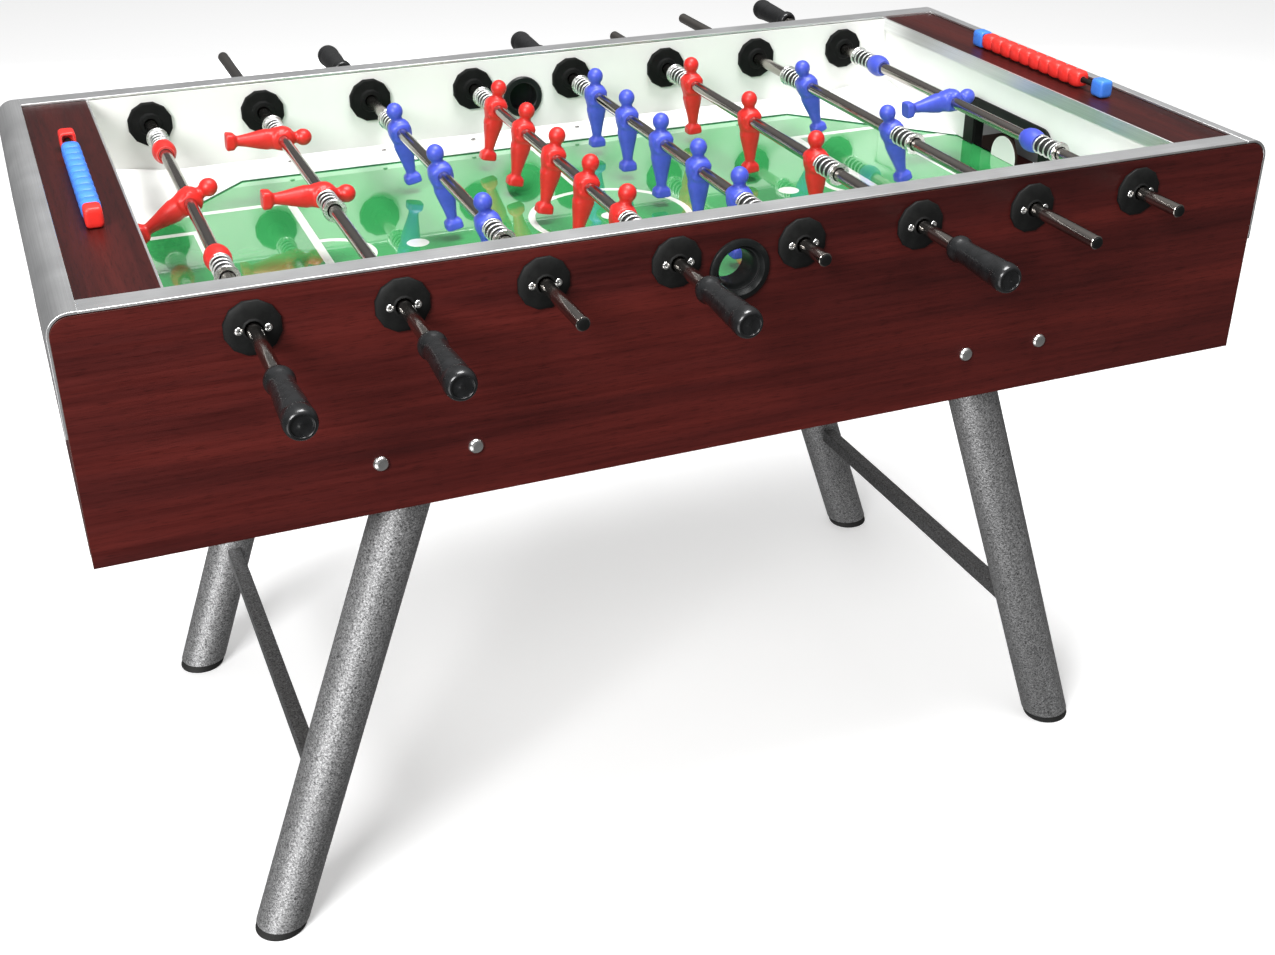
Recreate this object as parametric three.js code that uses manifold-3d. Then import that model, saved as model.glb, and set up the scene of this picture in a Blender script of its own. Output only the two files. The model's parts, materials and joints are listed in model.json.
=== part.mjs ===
// Foosball table: a laminated cabinet on four splayed tube legs, with eight player rods.
// Millimetres, +Z up, +X along the length, +Y from the front side towards the back side.

import * as THREE from 'three';
import { mergeVertices } from 'three/addons/utils/BufferGeometryUtils.js';
import { ConvexGeometry } from 'three/addons/geometries/ConvexGeometry.js';
import Module from 'manifold-3d';

const wasm = await Module();
wasm.setup();

// ---------------------------------------------------------------- driving dimensions

const GAP = 0.3;

const CABINET_LENGTH = 1420;
const CABINET_WIDTH = 754;
const PANEL_BOTTOM = 604;
const RIM_TOP = 880;
const RIM_THICKNESS = 3;
const PANEL_THICKNESS = 29;
const PANEL_CORNER_RADIUS = 22;
const PANEL_TOP = RIM_TOP - RIM_THICKNESS - GAP;
const PLAY_HALF_WIDTH = CABINET_WIDTH / 2 - PANEL_THICKNESS;
const INSERT_HALF_WIDTH = PLAY_HALF_WIDTH - GAP;

const END_PANEL_INNER_X = CABINET_LENGTH / 2 - PANEL_THICKNESS;
const END_TRIM_BOTTOM = 751;
const BALL_RETURN_HALF_WIDTH = 78;
const BALL_RETURN_BOTTOM = 680;
const BALL_RETURN_TOP = 728;

const FIELD_TOP = 753;
const FIELD_THICKNESS = 18;
const FIELD_BOTTOM = FIELD_TOP - FIELD_THICKNESS;
const FIELD_CORNER_X = 418;
const FIELD_EDGE_Y = 317;
const FIELD_MOUTH_Y = 125;

const END_WALL_X = 602;
const END_WALL_THICKNESS = 12;
const END_WALL_TOP = 864.7;
const RAMP_EDGE_HEIGHT = 1.5;
const SIDE_RAMP_RISE = 18;
const CORNER_RAMP_RISE = 32;

const GOAL_FRAME_HALF_WIDTH = 104;
const GOAL_FRAME_TOP = 822;
const GOAL_FRAME_RADIUS = 25;
const GOAL_FRAME_DEPTH = 4;
const GOAL_MOUTH_HALF_WIDTH = 80;
const GOAL_MOUTH_TOP = 806;
const GOAL_WALL = 4;
const GOAL_BEND_X = 655;
const GOAL_FLOOR_DROP = 70;
const GOAL_STOP_RADIUS = 29;
const GOAL_STOP_CENTRE_Z = 758;
const GOAL_STOP_THICKNESS = 5;
const GOAL_STOP_ROOT_HALF_WIDTH = 12;

const DECK_INNER_X = 597.5;
const DECK_OUTER_X = 680;
const DECK_TOP = 877;
const DECK_THICKNESS = 12;
const FASCIA_HEIGHT = 18;
const FASCIA_THICKNESS = 2.5;

const SCORE_X = 640;
const SCORE_POST_SPACING = 283;
const SCORE_POST_SIZE = { x: 20, y: 24, z: 24 };
const SCORE_RAIL_HEIGHT = 12;
const SCORE_RAIL_RADIUS = 3.5;
const BEAD_RADIUS = 11;
const BEAD_BORE = 4.4;
const BEAD_STACK_LENGTH = 230;
const BEAD_RIDGES = 10;
const BEAD_STACK_REST_Y = 14;

const ROD_PITCH = 149.7;
const ROD_HEIGHT = 838;
const ROD_RADIUS = 8;
const BEARING_BORE = 8.7;
const BEARING_FLANGE_RADIUS = 29.5;
const BEARING_FLANGE_THICKNESS = 4;
const BEARING_DOME = 9;
const BEARING_BARREL_RADIUS = 12.8;
const BEARING_HOLE_RADIUS = 13.6;
const BEARING_DISC_RADIUS = 29.5;
const BEARING_DISC_THICKNESS = 7.7;
const BEARING_NOSE = 4;

const CUP_HEIGHT = 818;
const CUP_HOLE_RADIUS = 25.2;
const CUP_BARREL_RADIUS = 24;
const CUP_BORE = 20.3;
const CUP_MOUTH = 29;
const CUP_OUTER_RADIUS = 35.5;
const CUP_INNER_RADIUS = 29;
const CUP_FLANGE = 5.5;
const CUP_FLOOR_DEPTH = 12;
const CUP_FLOOR_THICKNESS = 3;

const FOOT_REACH = 72;
const FIGURE_HALF_WIDTH = 14;
const FIGURE_CHEST_RADIUS = 14;
const FIGURE_HEAD_TOP = 38.5;
const BUMPER_RADIUS = 15;
const BUMPER_HALF_LENGTH = 15;
const SPRING_RADIUS = 12.5;
const SPRING_BORE = 9.2;
const SPRING_LENGTH = 42;
const WASHER_RADIUS = 14;
const WASHER_THICKNESS = 4;

const HANDLE_LENGTH = 106;
const HANDLE_SOCKET = 70;
const ROD_IN_SOCKET = 68;

const LEG_RADIUS = 31.5;
const LEG_Y = 302;
const LEG_TOP_X = 362;
const LEG_FOOT_X = 571;
const LEG_TOP = 700;
const FOOT_RADIUS = 31;
const FOOT_HEIGHT = 12;
const LEG_LEAN = (LEG_FOOT_X - LEG_TOP_X) / PANEL_BOTTOM;
const BRACKET_X = 358;
const BRACKET_SIZE = { x: 150, y: 22, z: 100 };
const BRACKET_Z = 665;
const LEG_BOLT_SPACING = 104;
const LEG_BOLT_Z = 663;
const LEG_BOLT_RADIUS = 4;
const LEG_BOLT_HOLE = 4.8;
const LEG_BOLT_HEAD_RADIUS = 8.8;
const LEG_BOLT_HEAD_HEIGHT = 5;
const CROSSBAR_SIZE = 20;
const CROSSBAR_Z = 200;

// The rods from left to right: the team, how many figures each holds, which side its handle
// is on and how far from the middle figure the grip starts, and how the rod lies at rest:
// slide is how far its figures stand behind the middle, angle how far they lean to the right.
const RODS = [
  { role: 'goalkeeper', team: 'red', figures: 1, handle: 'front', grip: 516, slide: 16, angle: 61 },
  { role: 'defence', team: 'red', figures: 2, handle: 'front', grip: 574, slide: 95, angle: 93 },
  { role: 'attack', team: 'blue', figures: 3, handle: 'back', grip: 507, slide: -3, angle: -11 },
  { role: 'midfield', team: 'red', figures: 5, handle: 'front', grip: 461, slide: 7, angle: 12 },
  { role: 'midfield', team: 'blue', figures: 5, handle: 'back', grip: 463, slide: 12, angle: -1 },
  { role: 'attack', team: 'red', figures: 3, handle: 'front', grip: 512, slide: 59, angle: -3 },
  { role: 'defence', team: 'blue', figures: 2, handle: 'none', grip: 0, slide: 58, angle: -19 },
  { role: 'goalkeeper', team: 'blue', figures: 1, handle: 'back', grip: 492, slide: 35, angle: 85 },
];

// For each number of figures: their spacing, the stop bumpers' distance from the middle,
// and the distance from the middle to a plain end.
const LAYOUTS = {
  1: { spacing: 0, bumper: 198, plainEnd: 491 },
  2: { spacing: 239, bumper: 0, plainEnd: 562 },
  3: { spacing: 189.5, bumper: 0, plainEnd: 493 },
  5: { spacing: 116.5, bumper: 0, plainEnd: 448 },
};

// ---------------------------------------------------------------- materials

function finish(color, roughness, metalness) {
  return new THREE.MeshStandardMaterial({ color, roughness, metalness });
}

const mahogany = () => finish('#4a1a17', 0.45, 0);
const whiteLaminate = () => finish('#efeee8', 0.5, 0);
const aluminium = () => finish('#b4b6b8', 0.35, 0.9);
const blackPlastic = () => finish('#161718', 0.5, 0);
const glassField = () => finish('#3f9a5b', 0.1, 0);
const springSteel = () => finish('#d4d6d8', 0.3, 1);
const hammerPaint = () => finish('#77787a', 0.4, 0.6);
const redPlastic = () => finish('#d8231f', 0.45, 0);
const bluePlastic = () => finish('#3c4ec8', 0.45, 0);
const teamPlastic = (team) => (team === 'red' ? redPlastic() : bluePlastic());

// ---------------------------------------------------------------- solids

// Turns a closed three.js geometry into a solid, whichever way round its faces are.
function solid(geometry) {
  const bare = geometry.clone();
  for (const name of Object.keys(bare.attributes)) {
    if (name !== 'position') {
      bare.deleteAttribute(name);
    }
  }
  const merged = mergeVertices(bare, 1e-3);
  const points = merged.getAttribute('position').array;
  const corners = merged.index.array;
  const triangles = [];
  let volume = 0;
  for (let i = 0; i < corners.length; i += 3) {
    const [a, b, c] = [corners[i], corners[i + 1], corners[i + 2]];
    if (a === b || b === c || c === a) {
      continue;
    }
    triangles.push([a, b, c]);
    const [p, q, r] = [a, b, c].map((k) => new THREE.Vector3().fromArray(points, 3 * k));
    volume += p.dot(q.cross(r));
  }
  const outward = volume > 0 ? triangles : triangles.map(([a, b, c]) => [a, c, b]);
  const mesh = new wasm.Mesh({
    numProp: 3,
    vertProperties: new Float32Array(points),
    triVerts: new Uint32Array(outward.flat()),
  });
  return new wasm.Manifold(mesh);
}

function toGeometry(body) {
  const mesh = body.getMesh();
  const geometry = new THREE.BufferGeometry();
  geometry.setAttribute('position', new THREE.BufferAttribute(mesh.vertProperties, 3));
  geometry.setIndex(new THREE.BufferAttribute(mesh.triVerts, 1));
  geometry.computeVertexNormals();
  return geometry;
}

function union(parts) {
  return parts.reduce((whole, part) => whole.add(part));
}

// A block from its lowest to its highest corner.
function block(x0, y0, z0, x1, y1, z1) {
  const geometry = new THREE.BoxGeometry(x1 - x0, y1 - y0, z1 - z0);
  geometry.translate((x0 + x1) / 2, (y0 + y1) / 2, (z0 + z1) / 2);
  return solid(geometry);
}

// A profile of [radius, y] points turned about the Y axis.
function turned(profile, segments) {
  const points = profile.map(([radius, y]) => new THREE.Vector2(radius, y));
  return solid(new THREE.LatheGeometry(points, segments));
}

function bar(radius, y0, y1, segments) {
  return turned([[0, y0], [radius, y0], [radius, y1], [0, y1]], segments);
}

// An outline of [x, z] points drawn out along Y.
function slab(shape, y0, y1, curveSegments = 6) {
  const geometry = new THREE.ExtrudeGeometry(shape, {
    depth: y1 - y0,
    bevelEnabled: false,
    curveSegments,
  });
  geometry.rotateX(Math.PI / 2);
  geometry.translate(0, y1, 0);
  return solid(geometry);
}

function outline(points) {
  return new THREE.Shape(points.map(([x, z]) => new THREE.Vector2(x, z)));
}

function addHole(shape, x, z, radius) {
  const hole = new THREE.Path();
  hole.absarc(x, z, radius, 0, 2 * Math.PI, true);
  shape.holes.push(hole);
}

function node(name, body, material) {
  const mesh = new THREE.Mesh(toGeometry(body), material);
  mesh.name = name;
  return mesh;
}

// ---------------------------------------------------------------- cabinet panels

const rodX = (index) => ROD_PITCH * (index - (RODS.length - 1) / 2);
const legBoltX = (side, end) => side * (BRACKET_X + (end * LEG_BOLT_SPACING) / 2);

function sidePanel() {
  const half = CABINET_LENGTH / 2;
  const corner = PANEL_CORNER_RADIUS;
  const shape = new THREE.Shape();
  shape.moveTo(-half, PANEL_BOTTOM);
  shape.lineTo(half, PANEL_BOTTOM);
  shape.lineTo(half, PANEL_TOP - corner);
  shape.absarc(half - corner, PANEL_TOP - corner, corner, 0, Math.PI / 2, false);
  shape.lineTo(-half + corner, PANEL_TOP);
  shape.absarc(-half + corner, PANEL_TOP - corner, corner, Math.PI / 2, Math.PI, false);
  for (const index of RODS.keys()) {
    addHole(shape, rodX(index), ROD_HEIGHT, BEARING_HOLE_RADIUS);
  }
  addHole(shape, 0, CUP_HEIGHT, CUP_HOLE_RADIUS);
  for (const side of [-1, 1]) {
    for (const end of [-1, 1]) {
      addHole(shape, legBoltX(side, end), LEG_BOLT_Z, LEG_BOLT_HOLE);
    }
  }
  return slab(shape, 0, PANEL_THICKNESS);
}

function endPanel() {
  const outerX = CABINET_LENGTH / 2;
  const corner = PANEL_CORNER_RADIUS;
  const shape = new THREE.Shape();
  shape.moveTo(END_PANEL_INNER_X, PANEL_BOTTOM);
  shape.lineTo(outerX, PANEL_BOTTOM);
  shape.lineTo(outerX, PANEL_TOP - corner);
  shape.absarc(outerX - corner, PANEL_TOP - corner, corner, 0, Math.PI / 2, false);
  shape.lineTo(END_PANEL_INNER_X, PANEL_TOP);
  const board = slab(shape, -INSERT_HALF_WIDTH, INSERT_HALF_WIDTH, 4);
  const slot = block(
    END_PANEL_INNER_X - 1, -BALL_RETURN_HALF_WIDTH, BALL_RETURN_BOTTOM,
    CABINET_LENGTH / 2 + 1, BALL_RETURN_HALF_WIDTH, BALL_RETURN_TOP,
  );
  return board.subtract(slot);
}

// The metal rim: two flat strips on the side panels, and at each end a profile that rolls
// over the end panel's top edge and runs down its outer face.
function topRim() {
  const innerX = DECK_OUTER_X + GAP;
  const cornerX = CABINET_LENGTH / 2 - PANEL_CORNER_RADIUS;
  const radius = PANEL_CORNER_RADIUS + GAP + RIM_THICKNESS;
  const cornerZ = RIM_TOP - radius;
  const profile = new THREE.Shape();
  profile.moveTo(innerX, RIM_TOP);
  profile.lineTo(innerX, RIM_TOP - RIM_THICKNESS);
  profile.lineTo(cornerX, RIM_TOP - RIM_THICKNESS);
  profile.absarc(cornerX, cornerZ, radius - RIM_THICKNESS, Math.PI / 2, 0, true);
  profile.lineTo(cornerX + radius - RIM_THICKNESS, END_TRIM_BOTTOM);
  profile.lineTo(cornerX + radius, END_TRIM_BOTTOM);
  profile.lineTo(cornerX + radius, cornerZ);
  profile.absarc(cornerX, cornerZ, radius, 0, Math.PI / 2, false);
  const right = slab(profile, -CABINET_WIDTH / 2, CABINET_WIDTH / 2, 4);
  const left = right.rotate([0, 0, 180]);
  const stripX = innerX + RIM_THICKNESS;
  const strips = [-1, 1].map((side) => {
    const edges = [side * PLAY_HALF_WIDTH, (side * CABINET_WIDTH) / 2].sort((a, b) => a - b);
    return block(-stripX, edges[0], RIM_TOP - RIM_THICKNESS, stripX, edges[1], RIM_TOP);
  });
  return union([left, right, ...strips]);
}

// ---------------------------------------------------------------- play area

function playfield() {
  return block(
    -END_WALL_X + GAP, -INSERT_HALF_WIDTH, FIELD_BOTTOM,
    END_WALL_X - GAP, INSERT_HALF_WIDTH, FIELD_TOP,
  );
}

// A wedge lying on the field: its low edge is one RAMP_EDGE_HEIGHT thick.
function wedge(lowEdge, highPoints, rise) {
  const base = FIELD_TOP + GAP;
  const points = [];
  for (const [x, y] of lowEdge) {
    points.push(new THREE.Vector3(x, y, base), new THREE.Vector3(x, y, base + RAMP_EDGE_HEIGHT));
  }
  for (const [x, y] of highPoints) {
    points.push(new THREE.Vector3(x, y, base), new THREE.Vector3(x, y, base + rise));
  }
  return solid(new ConvexGeometry(points));
}

// The white surround: sloping side strips, four corner ramps and two end walls.
function fieldSurround() {
  const wallY = INSERT_HALF_WIDTH;
  const innerX = END_WALL_X + 1;
  const cornerRun = (END_WALL_X - FIELD_CORNER_X) / (FIELD_EDGE_Y - FIELD_MOUTH_Y);
  const parts = [];
  for (const side of [-1, 1]) {
    const edge = [[-innerX, side * FIELD_EDGE_Y], [innerX, side * FIELD_EDGE_Y]];
    const wall = [[-innerX, side * wallY], [innerX, side * wallY]];
    parts.push(wedge(edge, wall, SIDE_RAMP_RISE));
    for (const end of [-1, 1]) {
      const startX = FIELD_CORNER_X - (wallY - FIELD_EDGE_Y) * cornerRun;
      const mouthY = FIELD_MOUTH_Y - (innerX - END_WALL_X) / cornerRun;
      const low = [[end * startX, side * wallY], [end * innerX, side * mouthY]];
      parts.push(wedge(low, [[end * innerX, side * wallY]], CORNER_RAMP_RISE));
    }
  }
  for (const end of [-1, 1]) {
    const faces = [end * END_WALL_X, end * (END_WALL_X + END_WALL_THICKNESS)];
    faces.sort((a, b) => a - b);
    const wall = block(faces[0], -wallY, FIELD_BOTTOM, faces[1], wallY, END_WALL_TOP);
    const halfOpening = GOAL_MOUTH_HALF_WIDTH + GOAL_WALL + GAP;
    const opening = block(
      faces[0] - 2, -halfOpening, FIELD_BOTTOM - 1,
      faces[1] + 2, halfOpening, GOAL_MOUTH_TOP + GOAL_WALL + GAP,
    );
    parts.push(wall.subtract(opening));
  }
  return union(parts);
}

// A goal: the frame on the end wall, behind it a hood whose floor falls to the ball return, and
// a half-round stop in the middle of the mouth.
function goal() {
  const half = GOAL_FRAME_HALF_WIDTH;
  const base = FIELD_TOP + GAP;
  const corner = GOAL_FRAME_RADIUS;
  const face = new THREE.Shape();
  face.moveTo(-half, base);
  face.lineTo(half, base);
  face.lineTo(half, GOAL_FRAME_TOP - corner);
  face.absarc(half - corner, GOAL_FRAME_TOP - corner, corner, 0, Math.PI / 2, false);
  face.lineTo(-half + corner, GOAL_FRAME_TOP);
  face.absarc(-half + corner, GOAL_FRAME_TOP - corner, corner, Math.PI / 2, Math.PI, false);
  const frameX = END_WALL_X - GAP;
  const frame = slab(face, 0, GOAL_FRAME_DEPTH, 3)
    .rotate([0, 0, 90])
    .translate([frameX, 0, 0]);
  const hoodX = END_WALL_X;
  const endX = END_PANEL_INNER_X - GAP;
  const hood = slab(outline([
    [frameX - 1, base],
    [hoodX, base],
    [hoodX, base - GOAL_WALL],
    [endX, FIELD_TOP - GOAL_FLOOR_DROP - GOAL_WALL],
    [endX, BALL_RETURN_TOP + GOAL_WALL],
    [GOAL_BEND_X, GOAL_MOUTH_TOP + GOAL_WALL],
    [frameX - 1, GOAL_MOUTH_TOP + GOAL_WALL],
  ]), -GOAL_MOUTH_HALF_WIDTH - GOAL_WALL, GOAL_MOUTH_HALF_WIDTH + GOAL_WALL);
  const space = slab(outline([
    [frameX - GOAL_FRAME_DEPTH - 1, base - GAP],
    [hoodX + GOAL_WALL, base - GAP],
    [endX + 1, FIELD_TOP - GOAL_FLOOR_DROP],
    [endX + 1, BALL_RETURN_TOP],
    [GOAL_BEND_X - 2, GOAL_MOUTH_TOP],
    [frameX - GOAL_FRAME_DEPTH - 1, GOAL_MOUTH_TOP],
  ]), -GOAL_MOUTH_HALF_WIDTH, GOAL_MOUTH_HALF_WIDTH);
  const stopFace = new THREE.Shape();
  stopFace.moveTo(-GOAL_STOP_RADIUS, base);
  stopFace.lineTo(GOAL_STOP_RADIUS, base);
  stopFace.lineTo(GOAL_STOP_RADIUS, GOAL_STOP_CENTRE_Z);
  stopFace.absarc(0, GOAL_STOP_CENTRE_Z, GOAL_STOP_RADIUS, 0, Math.PI, false);
  const stopX = frameX - GOAL_FRAME_DEPTH + GOAL_STOP_THICKNESS;
  const stop = slab(stopFace, 0, GOAL_STOP_THICKNESS).rotate([0, 0, 90]).translate([stopX, 0, 0]);
  const rootHalf = GOAL_STOP_ROOT_HALF_WIDTH;
  const root = block(hoodX, -rootHalf, base - GOAL_WALL, hoodX + GOAL_WALL, rootHalf, base + GOAL_WALL);
  return union([frame.add(hood).subtract(space), stop, root]);
}

// An end deck with its down-turned metal fascia and the score counter's posts and rail.
function deck() {
  const top = DECK_TOP;
  const bottom = DECK_TOP - DECK_THICKNESS;
  const parts = [
    block(DECK_INNER_X, -INSERT_HALF_WIDTH, bottom, DECK_OUTER_X, INSERT_HALF_WIDTH, top),
    block(
      DECK_INNER_X, -INSERT_HALF_WIDTH, top - FASCIA_HEIGHT,
      DECK_INNER_X + FASCIA_THICKNESS, INSERT_HALF_WIDTH, top,
    ),
  ];
  const halfSpacing = SCORE_POST_SPACING / 2;
  for (const end of [-1, 1]) {
    const y = end * halfSpacing;
    const { x: sx, y: sy, z: sz } = SCORE_POST_SIZE;
    parts.push(block(SCORE_X - sx / 2, y - sy / 2, top - 1, SCORE_X + sx / 2, y + sy / 2, top + sz));
  }
  parts.push(
    bar(SCORE_RAIL_RADIUS, -halfSpacing, halfSpacing, 8)
      .translate([SCORE_X, 0, top + SCORE_RAIL_HEIGHT]),
  );
  return union(parts);
}

function beadStack() {
  const half = BEAD_STACK_LENGTH / 2;
  const pitch = BEAD_STACK_LENGTH / BEAD_RIDGES;
  const profile = [[BEAD_BORE, -half]];
  for (let ridge = 0; ridge < BEAD_RIDGES; ridge += 1) {
    profile.push([BEAD_RADIUS - 2, -half + ridge * pitch]);
    profile.push([BEAD_RADIUS, -half + (ridge + 0.5) * pitch]);
  }
  profile.push([BEAD_RADIUS - 2, half], [BEAD_BORE, half], [BEAD_BORE, -half]);
  return turned(profile, 8);
}

// An open cup is a lined bore through the panel. A closed one has a floor near its outer end.
function ballCup(closed) {
  const inner = PLAY_HALF_WIDTH - GAP;
  const outer = CABINET_WIDTH / 2 + GAP;
  const floorInner = outer - CUP_FLOOR_DEPTH;
  const floorOuter = floorInner + CUP_FLOOR_THICKNESS;
  const section = [
    [CUP_BORE, outer - CUP_FLANGE],
    [CUP_MOUTH, outer + CUP_FLANGE],
    [CUP_OUTER_RADIUS, outer + CUP_FLANGE - 2],
    [CUP_OUTER_RADIUS, outer],
    [CUP_BARREL_RADIUS, outer],
    [CUP_BARREL_RADIUS, inner],
    [CUP_INNER_RADIUS, inner],
    [CUP_INNER_RADIUS, inner - CUP_FLANGE],
    [CUP_BORE, inner - CUP_FLANGE],
  ];
  const closing = closed
    ? [[CUP_BORE, floorInner], [0, floorInner]]
    : [section[0]];
  const opening = closed ? [[0, floorOuter], [CUP_BORE, floorOuter]] : [];
  return turned([...opening, ...section, ...closing], 12);
}

// ---------------------------------------------------------------- rods, figures and bearings

const bearingFace = INSERT_HALF_WIDTH - BEARING_DISC_THICKNESS - BEARING_NOSE;

// A bearing for the +Y side: a domed flange outside, a barrel through the panel and a
// twelve-sided nut inside.
function bearing() {
  const inner = INSERT_HALF_WIDTH;
  const outer = CABINET_WIDTH / 2 + GAP;
  return turned([
    [BEARING_BORE, outer + BEARING_DOME],
    [BEARING_FLANGE_RADIUS, outer + BEARING_FLANGE_THICKNESS],
    [BEARING_FLANGE_RADIUS, outer],
    [BEARING_BARREL_RADIUS, outer],
    [BEARING_BARREL_RADIUS, inner],
    [BEARING_DISC_RADIUS, inner],
    [BEARING_DISC_RADIUS, inner - BEARING_DISC_THICKNESS],
    [BEARING_BORE, bearingFace],
    [BEARING_BORE, outer + BEARING_DOME],
  ], 12);
}

// A figure about the rod's axis: boot, tapered legs, chest and round head.
function figure() {
  const profile = [
    [0, -FOOT_REACH],
    [10.5, -FOOT_REACH],
    [7, -58],
    [10, -30],
    [FIGURE_CHEST_RADIUS, 4],
    [7, 16],
    [10.8, 24],
    [10, 33],
    [0, FIGURE_HEAD_TOP],
  ];
  const points = profile.map(([radius, z]) => new THREE.Vector2(radius, z));
  const geometry = new THREE.LatheGeometry(points, 8);
  geometry.rotateX(Math.PI / 2);
  return solid(geometry);
}

function bumper() {
  const half = BUMPER_HALF_LENGTH;
  return turned([
    [0, -half],
    [BUMPER_RADIUS - 5, -half],
    [BUMPER_RADIUS, -half / 3],
    [BUMPER_RADIUS, half / 3],
    [BUMPER_RADIUS - 5, half],
    [0, half],
  ], 10);
}

function figurePlaces({ figures }) {
  const { spacing } = LAYOUTS[figures];
  return Array.from({ length: figures }, (_, k) => (k - (figures - 1) / 2) * spacing);
}

// The distance from the rod's middle to the outer face of its last figure or bumper.
function stackReach({ figures }) {
  const { bumper: bumperPlace } = LAYOUTS[figures];
  if (bumperPlace > 0) {
    return bumperPlace + BUMPER_HALF_LENGTH;
  }
  return Math.max(...figurePlaces({ figures })) + FIGURE_HALF_WIDTH;
}

// One rod with everything pinned to it: figures, bumpers, and the back spring with its washer.
function playerRod(rod) {
  const { bumper: bumperPlace, plainEnd } = LAYOUTS[rod.figures];
  const front = rod.handle === 'front' ? -rod.grip - ROD_IN_SOCKET : -plainEnd;
  const back = rod.handle === 'back' ? rod.grip + ROD_IN_SOCKET : plainEnd;
  const reach = stackReach(rod);
  const springEnd = reach + SPRING_LENGTH;
  const parts = [
    bar(ROD_RADIUS, front, back, 8),
    bar(SPRING_RADIUS, reach - 1, springEnd, 12),
    bar(WASHER_RADIUS, springEnd - 1, springEnd + WASHER_THICKNESS, 12),
  ];
  for (const y of figurePlaces(rod)) {
    parts.push(figure().translate([0, y, 0]));
  }
  if (bumperPlace > 0) {
    parts.push(bumper().translate([0, bumperPlace, 0]));
    parts.push(bumper().translate([0, -bumperPlace, 0]));
  }
  return union(parts);
}

// The loose front spring with its washer, as one sleeve that slides with the rod.
function frontSpring(rod) {
  const start = -stackReach(rod) - GAP;
  const springEnd = -stackReach(rod) - SPRING_LENGTH;
  const end = springEnd - WASHER_THICKNESS;
  return turned([
    [SPRING_BORE, start],
    [SPRING_RADIUS, start],
    [SPRING_RADIUS, springEnd],
    [WASHER_RADIUS, springEnd],
    [WASHER_RADIUS, end],
    [SPRING_BORE, end],
    [SPRING_BORE, start],
  ], 12);
}

// A handle whose socket opens towards the rod's middle, on the +Y side.
function handle() {
  return turned([
    [0, HANDLE_SOCKET],
    [ROD_RADIUS + 0.7, HANDLE_SOCKET],
    [ROD_RADIUS + 0.7, 0],
    [14.8, 0],
    [15.6, 9],
    [13.2, 16],
    [15.2, 84],
    [16.2, 95],
    [13, HANDLE_LENGTH],
    [0, HANDLE_LENGTH - 2],
  ], 10);
}

// ---------------------------------------------------------------- legs

// The front right leg: a leaning tube on a rubber foot, with its bracket and two bolts.
function leg() {
  const profile = [
    [0, 0],
    [FOOT_RADIUS, 0],
    [FOOT_RADIUS, FOOT_HEIGHT],
    [LEG_RADIUS, FOOT_HEIGHT],
    [LEG_RADIUS, LEG_TOP],
    [0, LEG_TOP],
  ];
  const points = profile.map(([radius, z]) => new THREE.Vector2(radius, z));
  const geometry = new THREE.LatheGeometry(points, 16);
  geometry.rotateX(Math.PI / 2);
  const stretch = Math.hypot(1, LEG_LEAN);
  const lean = new THREE.Matrix4().set(
    stretch, 0, -LEG_LEAN, LEG_FOOT_X,
    0, 1, 0, -LEG_Y,
    0, 0, 1, 0,
    0, 0, 0, 1,
  );
  geometry.applyMatrix4(lean);
  const { x: sx, y: sy, z: sz } = BRACKET_SIZE;
  const parts = [
    solid(geometry),
    block(
      BRACKET_X - sx / 2, -INSERT_HALF_WIDTH, BRACKET_Z - sz / 2,
      BRACKET_X + sx / 2, -INSERT_HALF_WIDTH + sy, BRACKET_Z + sz / 2,
    ),
  ];
  const outer = -CABINET_WIDTH / 2 - GAP;
  for (const end of [-1, 1]) {
    const bolt = turned([
      [0, outer - LEG_BOLT_HEAD_HEIGHT],
      [LEG_BOLT_HEAD_RADIUS - 3, outer - LEG_BOLT_HEAD_HEIGHT + 0.8],
      [LEG_BOLT_HEAD_RADIUS, outer],
      [LEG_BOLT_RADIUS, outer],
      [LEG_BOLT_RADIUS, -INSERT_HALF_WIDTH + 1],
      [0, -INSERT_HALF_WIDTH + 1],
    ], 8);
    parts.push(bolt.translate([legBoltX(1, end), 0, LEG_BOLT_Z]));
  }
  return union(parts);
}

function crossbar() {
  const x = LEG_FOOT_X - LEG_LEAN * CROSSBAR_Z;
  const half = CROSSBAR_SIZE / 2;
  const halfLength = LEG_Y - LEG_RADIUS - GAP;
  return block(
    x - half, -halfLength, CROSSBAR_Z - half,
    x + half, halfLength, CROSSBAR_Z + half,
  );
}

// ---------------------------------------------------------------- assembly

const halfTurn = (body) => body.rotate([0, 0, 180]);
const flipX = (body) => body.mirror([1, 0, 0]);
const flipY = (body) => body.mirror([0, 1, 0]);

function cabinet() {
  const group = new THREE.Group();
  const panel = sidePanel();
  group.add(
    node('front_side_panel', panel.translate([0, -CABINET_WIDTH / 2, 0]), mahogany()),
    node('back_side_panel', panel.translate([0, PLAY_HALF_WIDTH, 0]), mahogany()),
    node('left_end_panel', halfTurn(endPanel()), mahogany()),
    node('right_end_panel', endPanel(), mahogany()),
    node('top_rim', topRim(), aluminium()),
    node('playfield', playfield(), glassField()),
    node('field_surround', fieldSurround(), whiteLaminate()),
    node('left_goal', halfTurn(goal()), blackPlastic()),
    node('right_goal', goal(), blackPlastic()),
    node('left_deck', halfTurn(deck()), mahogany()),
    node('right_deck', deck(), mahogany()),
    node('front_ball_cup', flipY(ballCup(false)).translate([0, 0, CUP_HEIGHT]), blackPlastic()),
    node('back_ball_cup', ballCup(true).translate([0, 0, CUP_HEIGHT]), blackPlastic()),
  );
  return group;
}

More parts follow.
